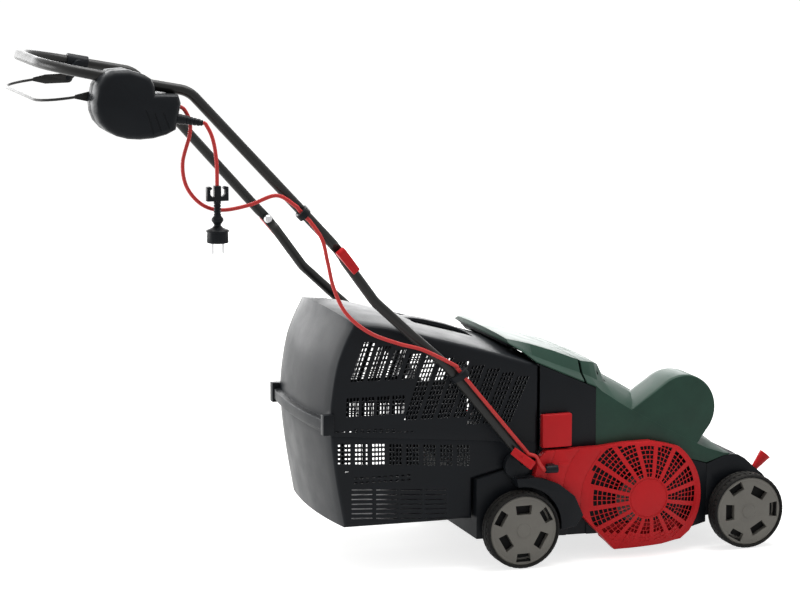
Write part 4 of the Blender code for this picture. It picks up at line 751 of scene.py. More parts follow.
def make_tyre():
    profile = [
        (0.0583, 0.1990), (0.0670, 0.1990), (0.0700, 0.1996), (0.0717, 0.2012), (0.0725, 0.2040),
        (0.0725, 0.2098), (0.0712, 0.2104), (0.0712, 0.2120), (0.0725, 0.2126), (0.0725, 0.2214),
        (0.0712, 0.2220), (0.0712, 0.2236), (0.0725, 0.2242), (0.0725, 0.2300), (0.0717, 0.2328),
        (0.0704, 0.2342), (0.0690, 0.2350), (0.0676, 0.2347), (0.0668, 0.2340), (0.0663, 0.2322),
        (0.0663, 0.2287), (0.0583, 0.2287),
    ]
    tyre = turned("tyre", [(r, -y) for r, y in profile], (0.0, WHEEL_RADIUS), closed=True)
    notches = wheel_notches(bpy.context.scene.scarifier_sizes.tread_blocks)
    combine(tyre, blocks("notches_outer", notches, -0.2345, -0.2246))
    combine(tyre, blocks("notches_inner", notches, -0.2094, -0.1995))
    web = [(0.0145, -0.2195), (0.0542, -0.2195), (0.0542, -0.2165), (0.0145, -0.2165)]
    join("tyre", tyre, turned("web", web, (0.0, WHEEL_RADIUS), closed=True))
    return smooth(tyre, 40)


def pocket(middle, half_r, half_w, angle):
    """A pocket's outline on the wheel's face, narrower towards the hub."""
    out, across = Vector((math.cos(angle), math.sin(angle))), Vector((-math.sin(angle), math.cos(angle)))
    narrow, wide = half_w * 0.92, half_w * 1.06
    corners = [(-half_r, -narrow), (half_r, -wide), (half_r, wide), (-half_r, narrow)]
    return [tuple(Vector((0.0, WHEEL_RADIUS)) + out * (middle + a) + across * b) for a, b in corners]


def make_hub():
    profile = [
        (0.0, 0.2348), (0.0118, 0.2348), (0.0130, 0.2345), (0.0137, 0.2338), (0.0142, 0.2330),
        (0.0260, 0.2334), (0.0440, 0.2334), (0.0580, 0.2326), (0.0606, 0.2322), (0.0618, 0.2328),
        (0.0640, 0.2326), (0.0654, 0.2318), (0.0660, 0.2306), (0.0660, 0.2290), (0.0580, 0.2290),
        (0.0580, 0.2005), (0.0545, 0.2005), (0.0545, 0.2220), (0.0140, 0.2220), (0.0140, 0.1965),
        (0.0063, 0.1965), (0.0063, 0.2275), (0.0, 0.2275),
    ]
    hub = turned("hub", [(r, -y) for r, y in profile], (0.0, WHEEL_RADIUS))
    inner = [pocket(0.0395, 0.0088, 0.0155, math.radians(90 + 120 * k)) for k in range(3)]
    outer = [pocket(0.0515, 0.0082, 0.0140, math.radians(30 + 120 * k)) for k in range(3)]
    combine(hub, blocks("pockets", inner + outer, -0.240, -0.2200))
    soften(hub, 0.0007, 2, 40)
    return hub


def make_wheels():
    tyre, hub = make_tyre(), make_hub()
    axis = Vector((0.0, 0.0, WHEEL_RADIUS)) + SHIFT
    for place, x, turn in (("rear", 0.0, 0), ("front", WHEELBASE, -30)):
        for side, sign in SIDES:
            move = Matrix.Translation((x, 0, 0)) @ Matrix.Translation(axis)
            move = move @ Matrix.Rotation(math.radians(-turn), 4, "Y") @ Matrix.Diagonal((1, -sign, 1, 1))
            move = move @ Matrix.Translation(-axis)
            for kind, model, look in (("tyre", tyre, "rubber"), ("hub", hub, "grey_plastic")):
                copy = moved_copy(model, f"{place}_{kind}_{side}_look", move)
                dress(copy, look, f"{place}_wheel_{side}", f"{place}_{kind}_{side}")
    bpy.data.objects.remove(tyre)
    bpy.data.objects.remove(hub)


class SCARIFIER_OT_wheels(bpy.types.Operator):
    """Build the four wheels with their tyres"""

    bl_idname = "scarifier.wheels"
    bl_label = "Wheels"

    def execute(self, context):
        make_wheels()
        return {"FINISHED"}


# Chassis


def make_deck(edge):
    """The deck, with both skirts open behind the mudguards, where the photograph shows daylight."""
    deck = tidy_copy("deck", "deck_look")
    gap = [(0.1165, 0.0905), (0.1350, 0.0790), (0.1440, 0.0660), (0.1440, 0.0)]
    gap += [(0.0700, 0.0), (0.0700, 0.0440), (0.1020, 0.0440)]
    for _, s in SIDES:
        combine(deck, slab("opening", gap, *span(s, 0.1865, 0.195)))
    soften(deck, edge, 3)
    dress(deck, "black_plastic", "chassis", "deck")


def make_gland():
    """A round sleeve along the lead with its foot on the belt cover."""
    y, z = LEAD_ENTRY[1], LEAD_ENTRY[2]
    sleeve = [(0, 0.0068), (0.0039, 0.0068), (0.0039, 0), (0.0058, 0), (0.0066, 0.0010), (0.0074, 0.0060)]
    sleeve += [(0.0076, 0.0235), (0.0068, 0.0244), (0, 0.0244)]
    gland = aimed(turned("lead_gland_look", sleeve, steps=32, shift=Vector()), (0.0440, y, z), (1, 0, 0))
    foot = block("foot", 0.0525, 0.0672, y, -COVER_FACE - GAP, z - 0.0062, z + 0.0062)
    combine(gland, foot, "UNION")
    soften(gland, 0.0008, 3, 40)
    dress(gland, "black_plastic", "chassis", "lead_gland")


class SCARIFIER_OT_chassis(bpy.types.Operator):
    """Build the deck, the housings and the handle brackets"""

    bl_idname = "scarifier.chassis"
    bl_label = "Deck and housings"

    def execute(self, context):
        edge = context.scene.scarifier_sizes.edge
        for node, width in (
            ("rear_housing", edge * 1.4),
            ("axle_housing", edge * 2.5),
            ("handle_bracket_right", edge),
            ("handle_bracket_left", edge),
        ):
            dress_copy(node, "black_plastic", "chassis", width, 3)
        make_deck(edge)
        make_gland()
        dress_copy("side_plate_right", "red_plastic", "chassis", edge * 2, 3, name="side_plate_look")
        dress_copy("side_cover_left", "red_plastic", "chassis", edge * 3, 4)
        return {"FINISHED"}


# Hood


def section_points(x, half, bottom, edge, slope, ridge, crown, cut=0.0):
    """A cross-section from one lower edge over the top to the other; slope and ridge are (y, z)."""
    line = [(-half, edge), (-slope[0], slope[1]), (-ridge[0], ridge[1])]
    line += [(-0.6 * ridge[0], ridge[1] + crown * 0.7), (-0.2 * ridge[0], ridge[1] + crown)]
    ring = [(x, -half + cut, bottom)]
    ring += [(x, max(-half + cut, y + cut), z - (cut * 0.4 if y == -half else cut)) for y, z in line]
    return ring + [(x, -y, z) for x, y, z in reversed(ring)]


def hood_stations():
    """x, bottom, side edge, foot and top of the raised panel's side as (y, z), crown."""
    clear = 2 * GAP
    start = FLAP_FRONT_X + FLAP_GAP
    low = DECK_TOP + clear
    return [
        (start, seam_z(start) + clear, seam_z(start) + 0.003, (0.1690, 0.3500), (0.1560, 0.3725), 0.0035),
        (0.1612, seam_z(0.1612) + clear, seam_z(0.1612) + 0.003, (0.1670, 0.3415), (0.1500, 0.3680), 0.0035),
        (SEAM_X + clear, low, seam_z(SEAM_X) + 0.003, (0.1670, 0.3412), (0.1498, 0.3680), 0.0038),
        (0.1740, low, 0.3175, (0.1650, 0.3345), (0.1430, 0.3650), 0.0038),
        (0.1900, low, 0.3070, (0.1600, 0.3280), (0.1240, 0.3575), 0.0040),
        (0.2060, low, 0.2960, (0.1600, 0.3165), (0.1200, 0.3290), 0.0090),
        (0.2330, low, 0.2790, (0.1600, 0.2975), (0.1200, 0.3130), 0.0095),
        (0.2700, low, 0.2580, (0.1600, 0.2760), (0.1200, 0.2920), 0.0095),
        (0.3000, 0.2057, 0.2405, (0.1600, 0.2580), (0.1200, 0.2740), 0.0095),
        (0.3500, 0.1767, 0.2140, (0.1600, 0.2300), (0.1200, 0.2440), 0.0095),
        (0.3920, 0.1645, 0.1930, (0.1600, 0.2070), (0.1200, 0.2180), 0.0085),
        (0.4280, 0.1757, 0.1805, (0.1600, 0.1870), (0.1200, 0.1930), 0.0065),
        (0.4410, 0.1773, 0.1790, (0.1600, 0.1803), (0.1200, 0.1815), 0.0020),
    ]


def bulge_outline(radius, lift):
    start, end = (0.235 + lift, 0.279 - lift * 0.8), (0.357 - lift, 0.1785 + lift)
    return [(0.245 + lift, 0.225), start, *arc(MOTOR_AXIS, radius, 128, -42, 40), end, (0.300, 0.2120 + lift)]


def bulge_solid(name, radius, lift, rings):
    centre = Vector(MOTOR_AXIS)
    outline = bulge_outline(radius, lift)
    placed = []
    for y, scale in rings:
        ring = [centre + (Vector(point) - centre) * scale for point in outline]
        placed.append([(point.x, y, point.y) for point in ring])
    return loft(name, placed)


def make_hood():
    stations = hood_stations()
    inner = []
    for i, (x, bottom, edge, slope, ridge, crown) in enumerate(stations):
        shifted = x - 0.01 if i == 0 else x + WALL if i == 2 else x - WALL * 0.8 if i > 4 else x
        edge = max(edge, bottom)
        inner.append(section_points(shifted, DECK_HALF, bottom - 0.02, edge, slope, ridge, crown, WALL))
    hood = loft("motor_hood_look", [section_points(x, DECK_HALF, *rest) for x, *rest in stations])
    face = -DECK_HALF + GAP
    rings = [(face, 0.965), (face + 0.0012, 0.982), (face + 0.0036, 0.997), (face + 0.0065, 1.0), (-0.120, 1.0)]
    rings += [(-0.111, 0.985), (-0.1025, 0.94), (-0.094, 0.85), (-0.0868, 0.74), (-0.085, 0.70)]
    combine(hood, bulge_solid("bulge", 0.066, 0.0, rings), "UNION")
    combine(hood, loft("hood_room", inner))
    inside = [(-DECK_HALF + WALL, 1.0), (-0.120, 1.0), (-0.104, 0.94), (-0.088, 0.72)]
    combine(hood, bulge_solid("bulge_room", 0.063, WALL, inside))
    soften(hood, 0.0020, 3, 22, 26)
    dress(hood, "green_plastic", "chassis", "motor_hood")


class SCARIFIER_OT_hood(bpy.types.Operator):
    """Build the green hood with the bulge over the motor"""

    bl_idname = "scarifier.hood"
    bl_label = "Motor hood"

    def execute(self, context):
        make_hood()
        return {"FINISHED"}


# Belt cover


def cover_outline():
    rear = [(0.030, 0.1620), (0.0513, 0.1491), (0.0868, 0.1255), (0.1149, 0.0975), (0.1302, 0.0828)]
    front = arc(COVER_CENTRE, COVER_RADIUS, -36, 52, 14)
    top = [(0.300, 0.2115), (0.267, 0.219), (0.215, 0.219), (0.164, 0.215), (0.055, 0.215), (0.040, 0.200)]
    return rear + [(0.195, 0.014), (0.291, 0.018), (0.332, 0.024)] + front + top


def vent_curve():
    """Distance from the vent's middle and Y of the face there, over the step ring and down the dome."""
    top = COVER_FACE + VENT_RISE
    curve = [(0.0, top - 0.0008), (VENT_DISC - 0.0012, top - 0.0008), (VENT_DISC, top - 0.0022)]
    curve += [(VENT_DISC + 0.0014, top - 0.0022), (VENT_DISC + 0.0022, top - 0.0006), (0.046, top - 0.0012)]
    curve += [(0.055, top - 0.0038), (0.068, top - 0.0082), (0.082, top - 0.0132), (0.096, top - 0.0182)]
    curve += [(0.106, top - 0.0215), (VENT_RADIUS - 0.002, COVER_FACE + 0.0012)]
    return curve + [(VENT_RADIUS + 0.002, COVER_FACE)]


def vent_face(radius):
    curve = vent_curve()
    for (r0, y0), (r1, y1) in zip(curve, curve[1:]):
        if r0 <= radius <= r1:
            return y0 + (y1 - y0) * (radius - r0) / (r1 - r0)
    return COVER_FACE


def vent_windows(outline, pitch, bar_width):
    """Outlines of the vent's windows in sixteen sectors, some through the face and some only sunk in it."""
    limit = inset(outline, 0.0045)
    first, sector = VENT_DISC + 0.0040, 2 * math.pi / 16
    through, sunk = [], []
    for k in range(16):
        middle = (k + 0.5) * sector + math.radians(9.25)
        heading = math.degrees(middle) % 360
        furthest = 0.1095 if heading < 50 or heading > 300 else 0.122
        for row in range(10):
            r0 = first + row * pitch
            r1 = r0 + pitch - bar_width
            columns = 2 if row < 3 else 4 if row > 5 and 50 < heading < 140 else 3
            for column in range(columns):
                quad = []
                for r, ends in ((r0, (0, 1)), (r1, (1, 0))):
                    half = sector / 2 - (0.0036 + 0.014 * (r - first)) / r
                    wide = (2 * half - (columns - 1) * bar_width * 0.9 / r) / columns
                    for end in ends:
                        quad.append((r, middle - half + column * (wide + bar_width * 0.9 / r) + end * wide))
                quad = [(min(r, reach(limit, VENT_CENTRE, a)), a) for r, a in quad]
                if min(quad[3][0] - quad[0][0], quad[2][0] - quad[1][0]) < 0.0022:
                    continue
                places = [(r * math.cos(a) + VENT_CENTRE[0], r * math.sin(a) + VENT_CENTRE[1]) for r, a in quad]
                if min(x for x, z in places) < 0.1425 or r1 > furthest:
                    continue
                if min(z for x, z in places) > 0.0415:
                    through.append(places)
                elif min(z for x, z in places) > 0.0235:
                    sunk.append([(x, 0.0009 - vent_face(r), z) for (x, z), (r, a) in zip(places, quad)])
    return through, sunk


def make_belt_cover():
    sizes = bpy.context.scene.scarifier_sizes
    outline, curve = cover_outline(), vent_curve()
    far = [(0.3, -COVER_FACE), (0.3, -0.15), (0.0, -0.15)]
    dome = turned("dome", [(r, -y) for r, y in curve] + far, VENT_CENTRE, 96)
    thick = WALL * 0.5
    far = [(0.3, -COVER_FACE + thick), (0.3, -0.15), (0.0, -0.15)]
    room = turned("dome_room", [(r, -y + thick) for r, y in curve] + far, VENT_CENTRE, 96)
    start, inside = -COVER_FACE - VENT_RISE - 0.02, -DECK_HALF - GAP
    cover = slab("side_cover_right_look", outline, start, inside)
    combine(cover, dome, "INTERSECT")
    hollow = slab("hollow", inset(outline, WALL), start, inside + 0.01)
    combine(hollow, room, "INTERSECT")
    combine(cover, hollow)
    face = -COVER_FACE
    combine(cover, block("rib", 0.0785, 0.1000, face - 0.0016, face + 0.001, 0.1840, 0.1915), "UNION")
    lines = (
        [(0.1240, 0.2170), (0.1060, 0.1938), (0.0942, 0.1700), (0.0888, 0.1413), (0.0878, 0.1200)],
        [(0.1660, 0.2080), (0.1410, 0.1725), (0.1285, 0.1440), (0.1240, 0.1040), (0.1245, 0.0860)],
        [(0.0740, 0.2170), (0.0640, 0.1910), (0.0565, 0.1700), (0.0526, 0.1450)],
    )
    for line in lines:
        combine(cover, slab("step_line", strip(line, 0.0011), face - 0.020, face + 0.0008))
    backing = [(0.160, 0.060), (0.168, 0.040), (0.192, 0.0185), (0.291, 0.0225)]
    backing += [(0.330, 0.028), (0.3485, 0.041), (0.362, 0.060)]
    combine(cover, slab("backing", backing, -0.1937, -0.1925), "UNION")
    soften(cover, 0.0011, 2, 42)
    through, sunk = vent_windows(outline, sizes.vent_pitch, sizes.vent_bar)
    combine(cover, blocks("windows", through, start, -COVER_FACE + WALL + 0.001))
    combine(cover, blocks("relief", sunk, 0.0, -0.02))
    smooth(cover, 40)
    dress(cover, "red_plastic", "chassis", "side_cover_right")


class SCARIFIER_OT_belt_cover(bpy.types.Operator):
    """Build the red belt cover with its round vent"""

    bl_idname = "scarifier.belt_cover"
    bl_label = "Belt cover"

    def execute(self, context):
        make_belt_cover()
        return {"FINISHED"}


# Rear flap


def flap_stations():
    """x, half width, bottom, side edge, foot and top of the raised panel's side as (y, z), crown."""
    stations = [
        (0.0020, 0.1500, 0.4105, 0.4120, (0.1400, 0.4140), (0.1300, 0.4185), 0.0030),
        (0.0200, 0.1660, 0.3990, 0.4010, (0.1560, 0.4050), (0.1440, 0.4155), 0.0015),
    ]
    for x, rise, ridge, crown in (
        (0.040, 0.0110, 0.4110, 0.0005),
        (0.090, 0.0125, 0.3940, 0.0015),
        (FLAP_FRONT_X, 0.0155, 0.3752, 0.0035),
    ):
        low = seam_z(x)
        stations.append((x, DECK_HALF, low + 2 * GAP, low + 0.003, (0.169, low + rise), (0.156, ridge), crown))
    return stations


def make_flap():
    stations = flap_stations()
    inner = []
    for i, (x, half, bottom, edge, slope, ridge, crown) in enumerate(stations):
        shifted = x + WALL if i == 0 else x + 0.01 if i == 4 else x
        drop = 0.0043 if i == 4 else 0.0
        slope, ridge = (slope[0], slope[1] - drop), (ridge[0], ridge[1] - drop)
        inner.append(section_points(shifted, half, bottom - 0.02, edge - drop, slope, ridge, crown, WALL))
    flap = loft("rear_flap_look", [section_points(*station) for station in stations])
    combine(flap, loft("flap_room", inner))
    hx, hz = FLAP_HINGE
    arm = [
        (0.119, 0.3800), (0.119, hz - 0.0075), (hx, hz - 0.0055), (hx + 0.0045, hz - 0.003), (hx + 0.0055, hz),
        (hx + 0.0035, hz + 0.0035), (hx, hz + 0.0050), (hx - 0.008, hz + 0.0015), (0.1265, hz + 0.0010),
        (0.1265, 0.3778),
    ]
    for _, s in SIDES:
        combine(flap, slab("arm", arm, *span(s, 0.092, 0.101)), "UNION")
    soften(flap, 0.0014, 3, 22, 26)
    dress(flap, "green_plastic", "rear_flap", "rear_flap")
    # A black strip laid along the flap's rear edge: painted shade, standing for the shadow on the flap's rear
    # face.
    shadow_outline = [(0.0060, 0.4030), (0.0340, 0.3960), (0.0340, 0.4065), (0.0060, 0.4120)]
    shadow_strip = slab("rear_flap_shadow_strip_look", shadow_outline, -0.1260, 0.1260)
    soften(shadow_strip, 0.0015, 3, 40)
    dress(shadow_strip, "black_plastic", "rear_flap")


class SCARIFIER_OT_flap(bpy.types.Operator):
    """Build the green flap over the catcher's mouth"""

    bl_idname = "scarifier.flap"
    bl_label = "Rear flap"

    def execute(self, context):
        make_flap()
        return {"FINISHED"}


# Catcher


def catcher_share(x):
    """How wide the catcher is at x, against its mouth."""
    return 1 - (1 - CATCHER_REAR_SHARE) * (MOUTH_X - x) / (MOUTH_X - CATCHER_REAR_X)


def catcher_outline(y, cut):
    """The catcher's side outline at one distance from the middle, made smaller by cut."""
    t = min(1.0, abs(y) / CATCHER_HALF)
    swell, crown = CATCHER_SWELL * (1 - t * t), 0.012 * (1 - t * t)
    back = [(-0.3266, 0.0885), (-0.3416, 0.174), (-0.3516, 0.253), (CATCHER_REAR_X, 0.315), (-0.3416, 0.388)]
    back += [(-0.3256, 0.433), (-0.3066, 0.4693)]
    back = flat_curve(back, 4)
    over = [(-0.3066, 0.4693), (-0.236, 0.458), (-0.156, 0.436), (-0.075, 0.4135), (-0.020, 0.3965)]
    over = flat_curve(over + [(MOUTH_X, 0.3755)], 3)
    floor = [(MOUTH_X, ledge_z(MOUTH_X) + 0.0008), (-0.083, ledge_z(-0.083) + 0.0008)]
    floor += [(-0.083, 0.0905), (-0.148, 0.0895)]
    outline = [(x - swell, z) for x, z in back[:-1]] + [(over[0][0] - swell, over[0][1] + crown)]
    outline += [(x, z + crown) for x, z in over[1:]] + floor
    return inset(outline, cut) if cut else outline


def catcher_solid(name, cut, half, open_mouth):
    edge = 0.007
    levels = [(half, edge), (half - 0.0005, edge * 0.62), (half - 0.002, edge * 0.30)]
    levels += [(half - 0.0042, edge * 0.09), (half - edge, 0.0)]
    levels += [(y, 0.0) for y in (0.150, 0.120, 0.090, 0.060, 0.030)]
    levels = levels + [(0.0, 0.0)] + [(-y, c) for y, c in reversed(levels)]
    rings = []
    for y, more in levels:
        outline = catcher_outline(y, cut + more)
        if open_mouth:
            mouth = len(outline) - 5
            outline[mouth] = (MOUTH_X + 0.02, outline[mouth][1] - 0.006)
            outline[mouth + 1] = (MOUTH_X + 0.02, outline[mouth + 1][1] + 0.005)
        rings.append([(x, y * catcher_share(x), z) for x, z in outline])
    return loft(name, rings)


def parting_z(x):
    """Height of the line where the catcher's halves meet."""
    return PARTING_Z + PARTING_SLOPE * x


def half_space(above):
    step = GAP / 2 if above else -GAP / 2
    far = 0.7 if above else -0.2
    ends = [(x, parting_z(x) + step) for x in (-0.6, 0.2)]
    return slab("half", [ends[0], ends[1], (0.2, far), (-0.6, far)], -0.3, 0.3)


def window(x, z, width, height, lean=0.0, fall=0.0):
    """A small four-sided window round a point; lean slants its sides and fall its top and bottom."""
    corners = ((-0.5, -0.5), (0.5, -0.5), (0.5, 0.5), (-0.5, 0.5))
    return [(x + a * width + b * height * lean, z + b * height + a * width * fall) for a, b in corners]


def grille(foot_x, z_low, z_high, lean, pitch_z, columns=4, pitch=0.0064, fall=0.0):
    """One group of windows in columns that lean forwards, evenly spaced up from foot_x."""
    bar_width = bpy.context.scene.scarifier_sizes.grid_bar
    rows = max(1, round((z_high - z_low) / pitch_z))
    step = (z_high - z_low) / rows
    windows = []
    for column in range(columns):
        across = (column - (columns - 1) / 2) * pitch
        for row in range(rows):
            up = (row + 0.5) * step
            x, z = foot_x + across + up * lean, z_low + up + across * fall
            windows.append(window(x, z, pitch - bar_width, step - bar_width, lean, fall))
    return windows


def top_edge_z(x):
    return 0.4135 - 0.27 * (x + 0.075)


def upper_windows():
    windows = []
    for k in range(11):
        lean = 0.35 + 0.012 * max(0, k - 4)
        low = 0.362 if k < 4 else 0.285 if k < 8 else 0.270
        x = -0.3055 + 0.0323 * k + (low - 0.362) * lean
        high = top_edge_z(x + 0.10 * lean) - 0.030
        windows += grille(x, low, high, lean, 0.0088)
    for k in range(4):
        windows += grille(-0.3135 + 0.0290 * k, 0.2970, 0.3340, 0.04, 0.0092)
    start, fall, width = -0.3416, -0.054, 0.0066
    for k in range(13):
        x = start + 0.0119 * k
        along = fall * (x - start)
        windows.append(window(x, 0.2710 + along, width, 0.0022, 0.0, fall))
        if 3 <= k <= 9:
            windows.append(window(x, 0.2755 + along, width, 0.0020, 0.0, fall))
    return windows


def lower_windows(slot):
    windows = []
    for k in range(8):
        x = -0.3285 + 0.0325 * k
        top = 0.2494 - 0.07 * (x + 0.33)
        windows += grille(x, top - 0.041, top, 0.0, 0.0082, fall=-0.07)
    windows.append(window(-0.3238, 0.1951, 0.0070, 0.0022))
    for k in range(10):
        for z in (0.1815, 0.1730):
            windows.append(window(-0.3065 + 0.0112 * k, z, 0.0062, 0.0030, 0.0, -0.05))
    for k in range(7):
        z = 0.1590 - 0.0090 * k
        windows += [window(-0.2950 + 0.047 * n, z - 0.0030 * n, 0.0400, slot, 0.0, -0.05) for n in range(4)]
    return windows


def make_catcher():
    half = CATCHER_HALF
    room = catcher_solid("room", WALL, half - WALL, True)
    upper = catcher_solid("catcher_upper_look", 0.0, half, False)
    lower = moved_copy(upper, "catcher_lower_look", Matrix.Identity(4))
    lower_room = moved_copy(room, "lower_room", Matrix.Identity(4))
    combine(upper, room)
    combine(upper, half_space(True), "INTERSECT")
    combine(lower, lower_room)
    combine(lower, half_space(False), "INTERSECT")
    ys = [half * k / 16 for k in range(-16, 17)]
    rear = [CATCHER_REAR_X - CATCHER_SWELL * (1 - (y / half) ** 2) for y in ys]
    outer = [(x - 0.0125, 1.02 * y * catcher_share(x)) for x, y in zip(rear, ys)]
    inner = [(x + 0.0020, 0.975 * y * catcher_share(x)) for x, y in zip(rear, ys)]
    ring = outer + inner[::-1]
    lip = loft("lip", [[(x, y, z) for x, y in ring] for z in LIP_HEIGHTS])
    soften(lip, 0.0018, 2, 60)
    combine(upper, lip, "UNION")
    for _, s in SIDES:
        clip = block("clip", -0.3705, -0.3500, *span(s, 0.153, 0.1700), 0.2665, 0.3045)
        soften(clip, 0.0010, 2, 60)
        combine(upper, clip, "UNION")
    grip_x0, grip_x1 = -0.156, -0.036
    for _, s in SIDES:
        combine(upper, block("hole", grip_x0, grip_x1, *span(s, 0.018, 0.058), 0.36, 0.52))
    over = [(grip_x0 - 0.012, 0.4498), (grip_x0 + 0.02, 0.4465), (-0.096, 0.4370), (grip_x1 - 0.02, 0.4240)]
    over = flat_curve(over + [(grip_x1 + 0.012, 0.4085)], 5)
    grip = slab("grip", over + [(x, z - 0.010) for x, z in over[::-1]], -0.0175, 0.0175)
    soften(grip, 0.0025, 3, 50)
    combine(upper, grip, "UNION")
    soften(upper, 0.0008, 2, 45)
    soften(lower, 0.0008, 2, 45)
    for obj, near, far in (
        (upper, upper_windows(), upper_windows()),
        (lower, lower_windows(NEAR_SLOT), lower_windows(FAR_SLOT)),
    ):
        raised = [[(x, z + FAR_RISE) for x, z in outline] for outline in far]
        combine(obj, blocks("near_windows", near, -0.3, 0.0))
        combine(obj, blocks("far_windows", raised, 0.0, 0.3))
    for obj, node in ((upper, "catcher_upper"), (lower, "catcher_lower")):
        smooth(obj, 30)
        dress(obj, "black_plastic", "catcher", node)


class SCARIFIER_OT_catcher(bpy.types.Operator):
    """Build both halves of the catcher with their grilles and the grip"""

    bl_idname = "scarifier.catcher"
    bl_label = "Catcher"

    def execute(self, context):
        make_catcher()
        return {"FINISHED"}


# Handle


def flat_end(start, pivot, tube_y, tongue_y, sign, sides=24):
    """Rings of a tube's end that is pressed flat round its bolt, from the tip to the round tube."""
    rings = []
    centre = Vector(pivot)
    along = (Vector(start) - centre).normalized()
    across = Vector((-along.y, along.x))
    width, thick = 0.0088, TONGUE_THICKNESS / 2

    def ring(distance, half_width, half_thick, y, power):
        points = []
        for k in range(sides):
            a = 2 * math.pi * k / sides
            c, s = math.cos(a), math.sin(a)
            u = half_width * math.copysign(abs(c) ** power, c)
            v = half_thick * math.copysign(abs(s) ** power, s)
            place = centre + along * distance + across * u
            points.append((place.x, sign * y + sign * v, place.y))
        return points

    for angle in (78, 55, 35, 15):
        a = math.radians(angle)
        rings.append(ring(-width * math.sin(a), max(0.0012, width * math.cos(a)), thick, tongue_y, 0.45))
    rings.append(ring(0.0, width, thick, tongue_y, 0.45))
    length_to_tube = (Vector(start) - centre).length
    for share, mix in ((0.42, 0.0), (0.56, 0.12), (0.70, 0.38), (0.84, 0.72), (1.0, 1.0)):
        y = tongue_y + (tube_y - tongue_y) * mix
        half_width = width + (TUBE_RADIUS - width) * mix
        half_thick = thick + (TUBE_RADIUS - thick) * mix
        rings.append(ring(length_to_tube * share, half_width, half_thick, y, 0.45 + 0.55 * mix))
    return rings


def match_ring(before, ring):
    """Starts and turns a ring so that its points lie opposite those of the ring before it."""
    best, chosen = None, ring
    count = len(ring)
    for candidate in (ring, ring[::-1]):
        for offset in range(count):
            turned_ring = candidate[offset:] + candidate[:offset]
            cost = sum((Vector(a) - Vector(b)).length_squared for a, b in zip(before, turned_ring))
            if best is None or cost < best:
                best, chosen = cost, turned_ring
    return chosen


def handle_path():
    """The upper handle's centre line, from one clamp round the crossbar to the other."""
    bend, bar_end = (-0.6252, 0.9107), (-0.867, 0.958)
    direction = (Vector(bend) - Vector(CLAMP)).normalized()
    start = Vector(CLAMP) + direction * TUBE_SETBACK
    corners = [(start.x, -UPPER_TUBE_Y, start.y)]
    corners += [(x, -CROSSBAR_Y, z) for x, z in (bend, bar_end)]
    corners += [(x, -y, z) for x, y, z in reversed(corners)]
    return rounded(corners, (0.05, 0.130, 0.130, 0.05), 14)


def chain(name, rings_of_first_end, rings):
    matched = [rings_of_first_end[0]]
    for ring in rings_of_first_end[1:] + rings:
        matched.append(match_ring(matched[-1], ring))
    return loft(name, matched)


def make_handle_tubes():
    outer_y = TONGUE_INNER_Y + TONGUE_THICKNESS + GAP + TONGUE_THICKNESS / 2
    inner_y = TONGUE_INNER_Y + TONGUE_THICKNESS / 2
    path = handle_path()
    start = flat_end((path[0].x, path[0].z), CLAMP, UPPER_TUBE_Y, outer_y, -1)
    end = flat_end((path[-1].x, path[-1].z), CLAMP, UPPER_TUBE_Y, outer_y, 1)
    tube = chain("upper_handle_tube_look", start[:-1], path_rings(path, TUBE_RADIUS) + end[:-1][::-1])
    for _, s in SIDES:
        combine(tube, rod("bore", BORE_RADIUS, s * 0.21, s * 0.25, CLAMP, 24))
    smooth(tube, 40)
    dress(tube, "black_paint", "upper_handle", "upper_handle_tube", slot="black_tube")
    low_dir = (Vector(LOWER_BENDS[0]) - Vector(HANDLE_PIVOT)).normalized()
    high_dir = (Vector(LOWER_BENDS[-1]) - Vector(CLAMP)).normalized()
    first, last = Vector(HANDLE_PIVOT) + low_dir * TUBE_SETBACK, Vector(CLAMP) + high_dir * TUBE_SETBACK
    for side, sign in SIDES:
        corners = [(p[0], sign * LOWER_TUBE_Y, p[1]) for p in (first, *LOWER_BENDS, last)]
        path = rounded(corners, (0.15, 0.15, 0.06), 8)
        start = flat_end(tuple(first), HANDLE_PIVOT, LOWER_TUBE_Y, inner_y, sign)
        end = flat_end(tuple(last), CLAMP, LOWER_TUBE_Y, inner_y, sign)
        tube = chain(f"lower_tube_{side}_look", start[:-1], path_rings(path, TUBE_RADIUS) + end[:-1][::-1])
        for pivot in (HANDLE_PIVOT, CLAMP):
            combine(tube, rod("bore", BORE_RADIUS, sign * 0.21, sign * 0.24, pivot, 24))
        smooth(tube, 40)
        dress(tube, "black_paint", "lower_handle", f"lower_tube_{side}", slot="black_tube")
        head_y, end_y = TONGUE_INNER_Y - GAP, TONGUE_INNER_Y + 2 * TONGUE_THICKNESS + 2 * GAP
        bolt = [(0, head_y - 0.005), (0.0062, head_y - 0.005), (0.0078, head_y - 0.0032)]
        bolt += [(0.008, head_y - 0.0005), (0.0076, head_y), (0.004, head_y), (0.004, end_y), (0, end_y)]
        bolt = turned(f"clamp_bolt_{side}_look", [(r, sign * y) for r, y in bolt], CLAMP, 32)
        smooth(bolt, 40)
        dress(bolt, "bright_steel", "lower_handle", f"clamp_bolt_{side}")


class SCARIFIER_OT_handle(bpy.types.Operator):
    """Build the handle's tubes with their pressed ends, bolts and lead clips"""

    bl_idname = "scarifier.handle"
    bl_label = "Handle"

    def execute(self, context):
        make_handle_tubes()
        for node, body in (("cable_clip_upper", "upper_handle"), ("cable_clip_lower", "lower_handle")):
            dress_copy(node, "black_plastic", body, 0.0006, 2, 50)
        return {"FINISHED"}


# Levers


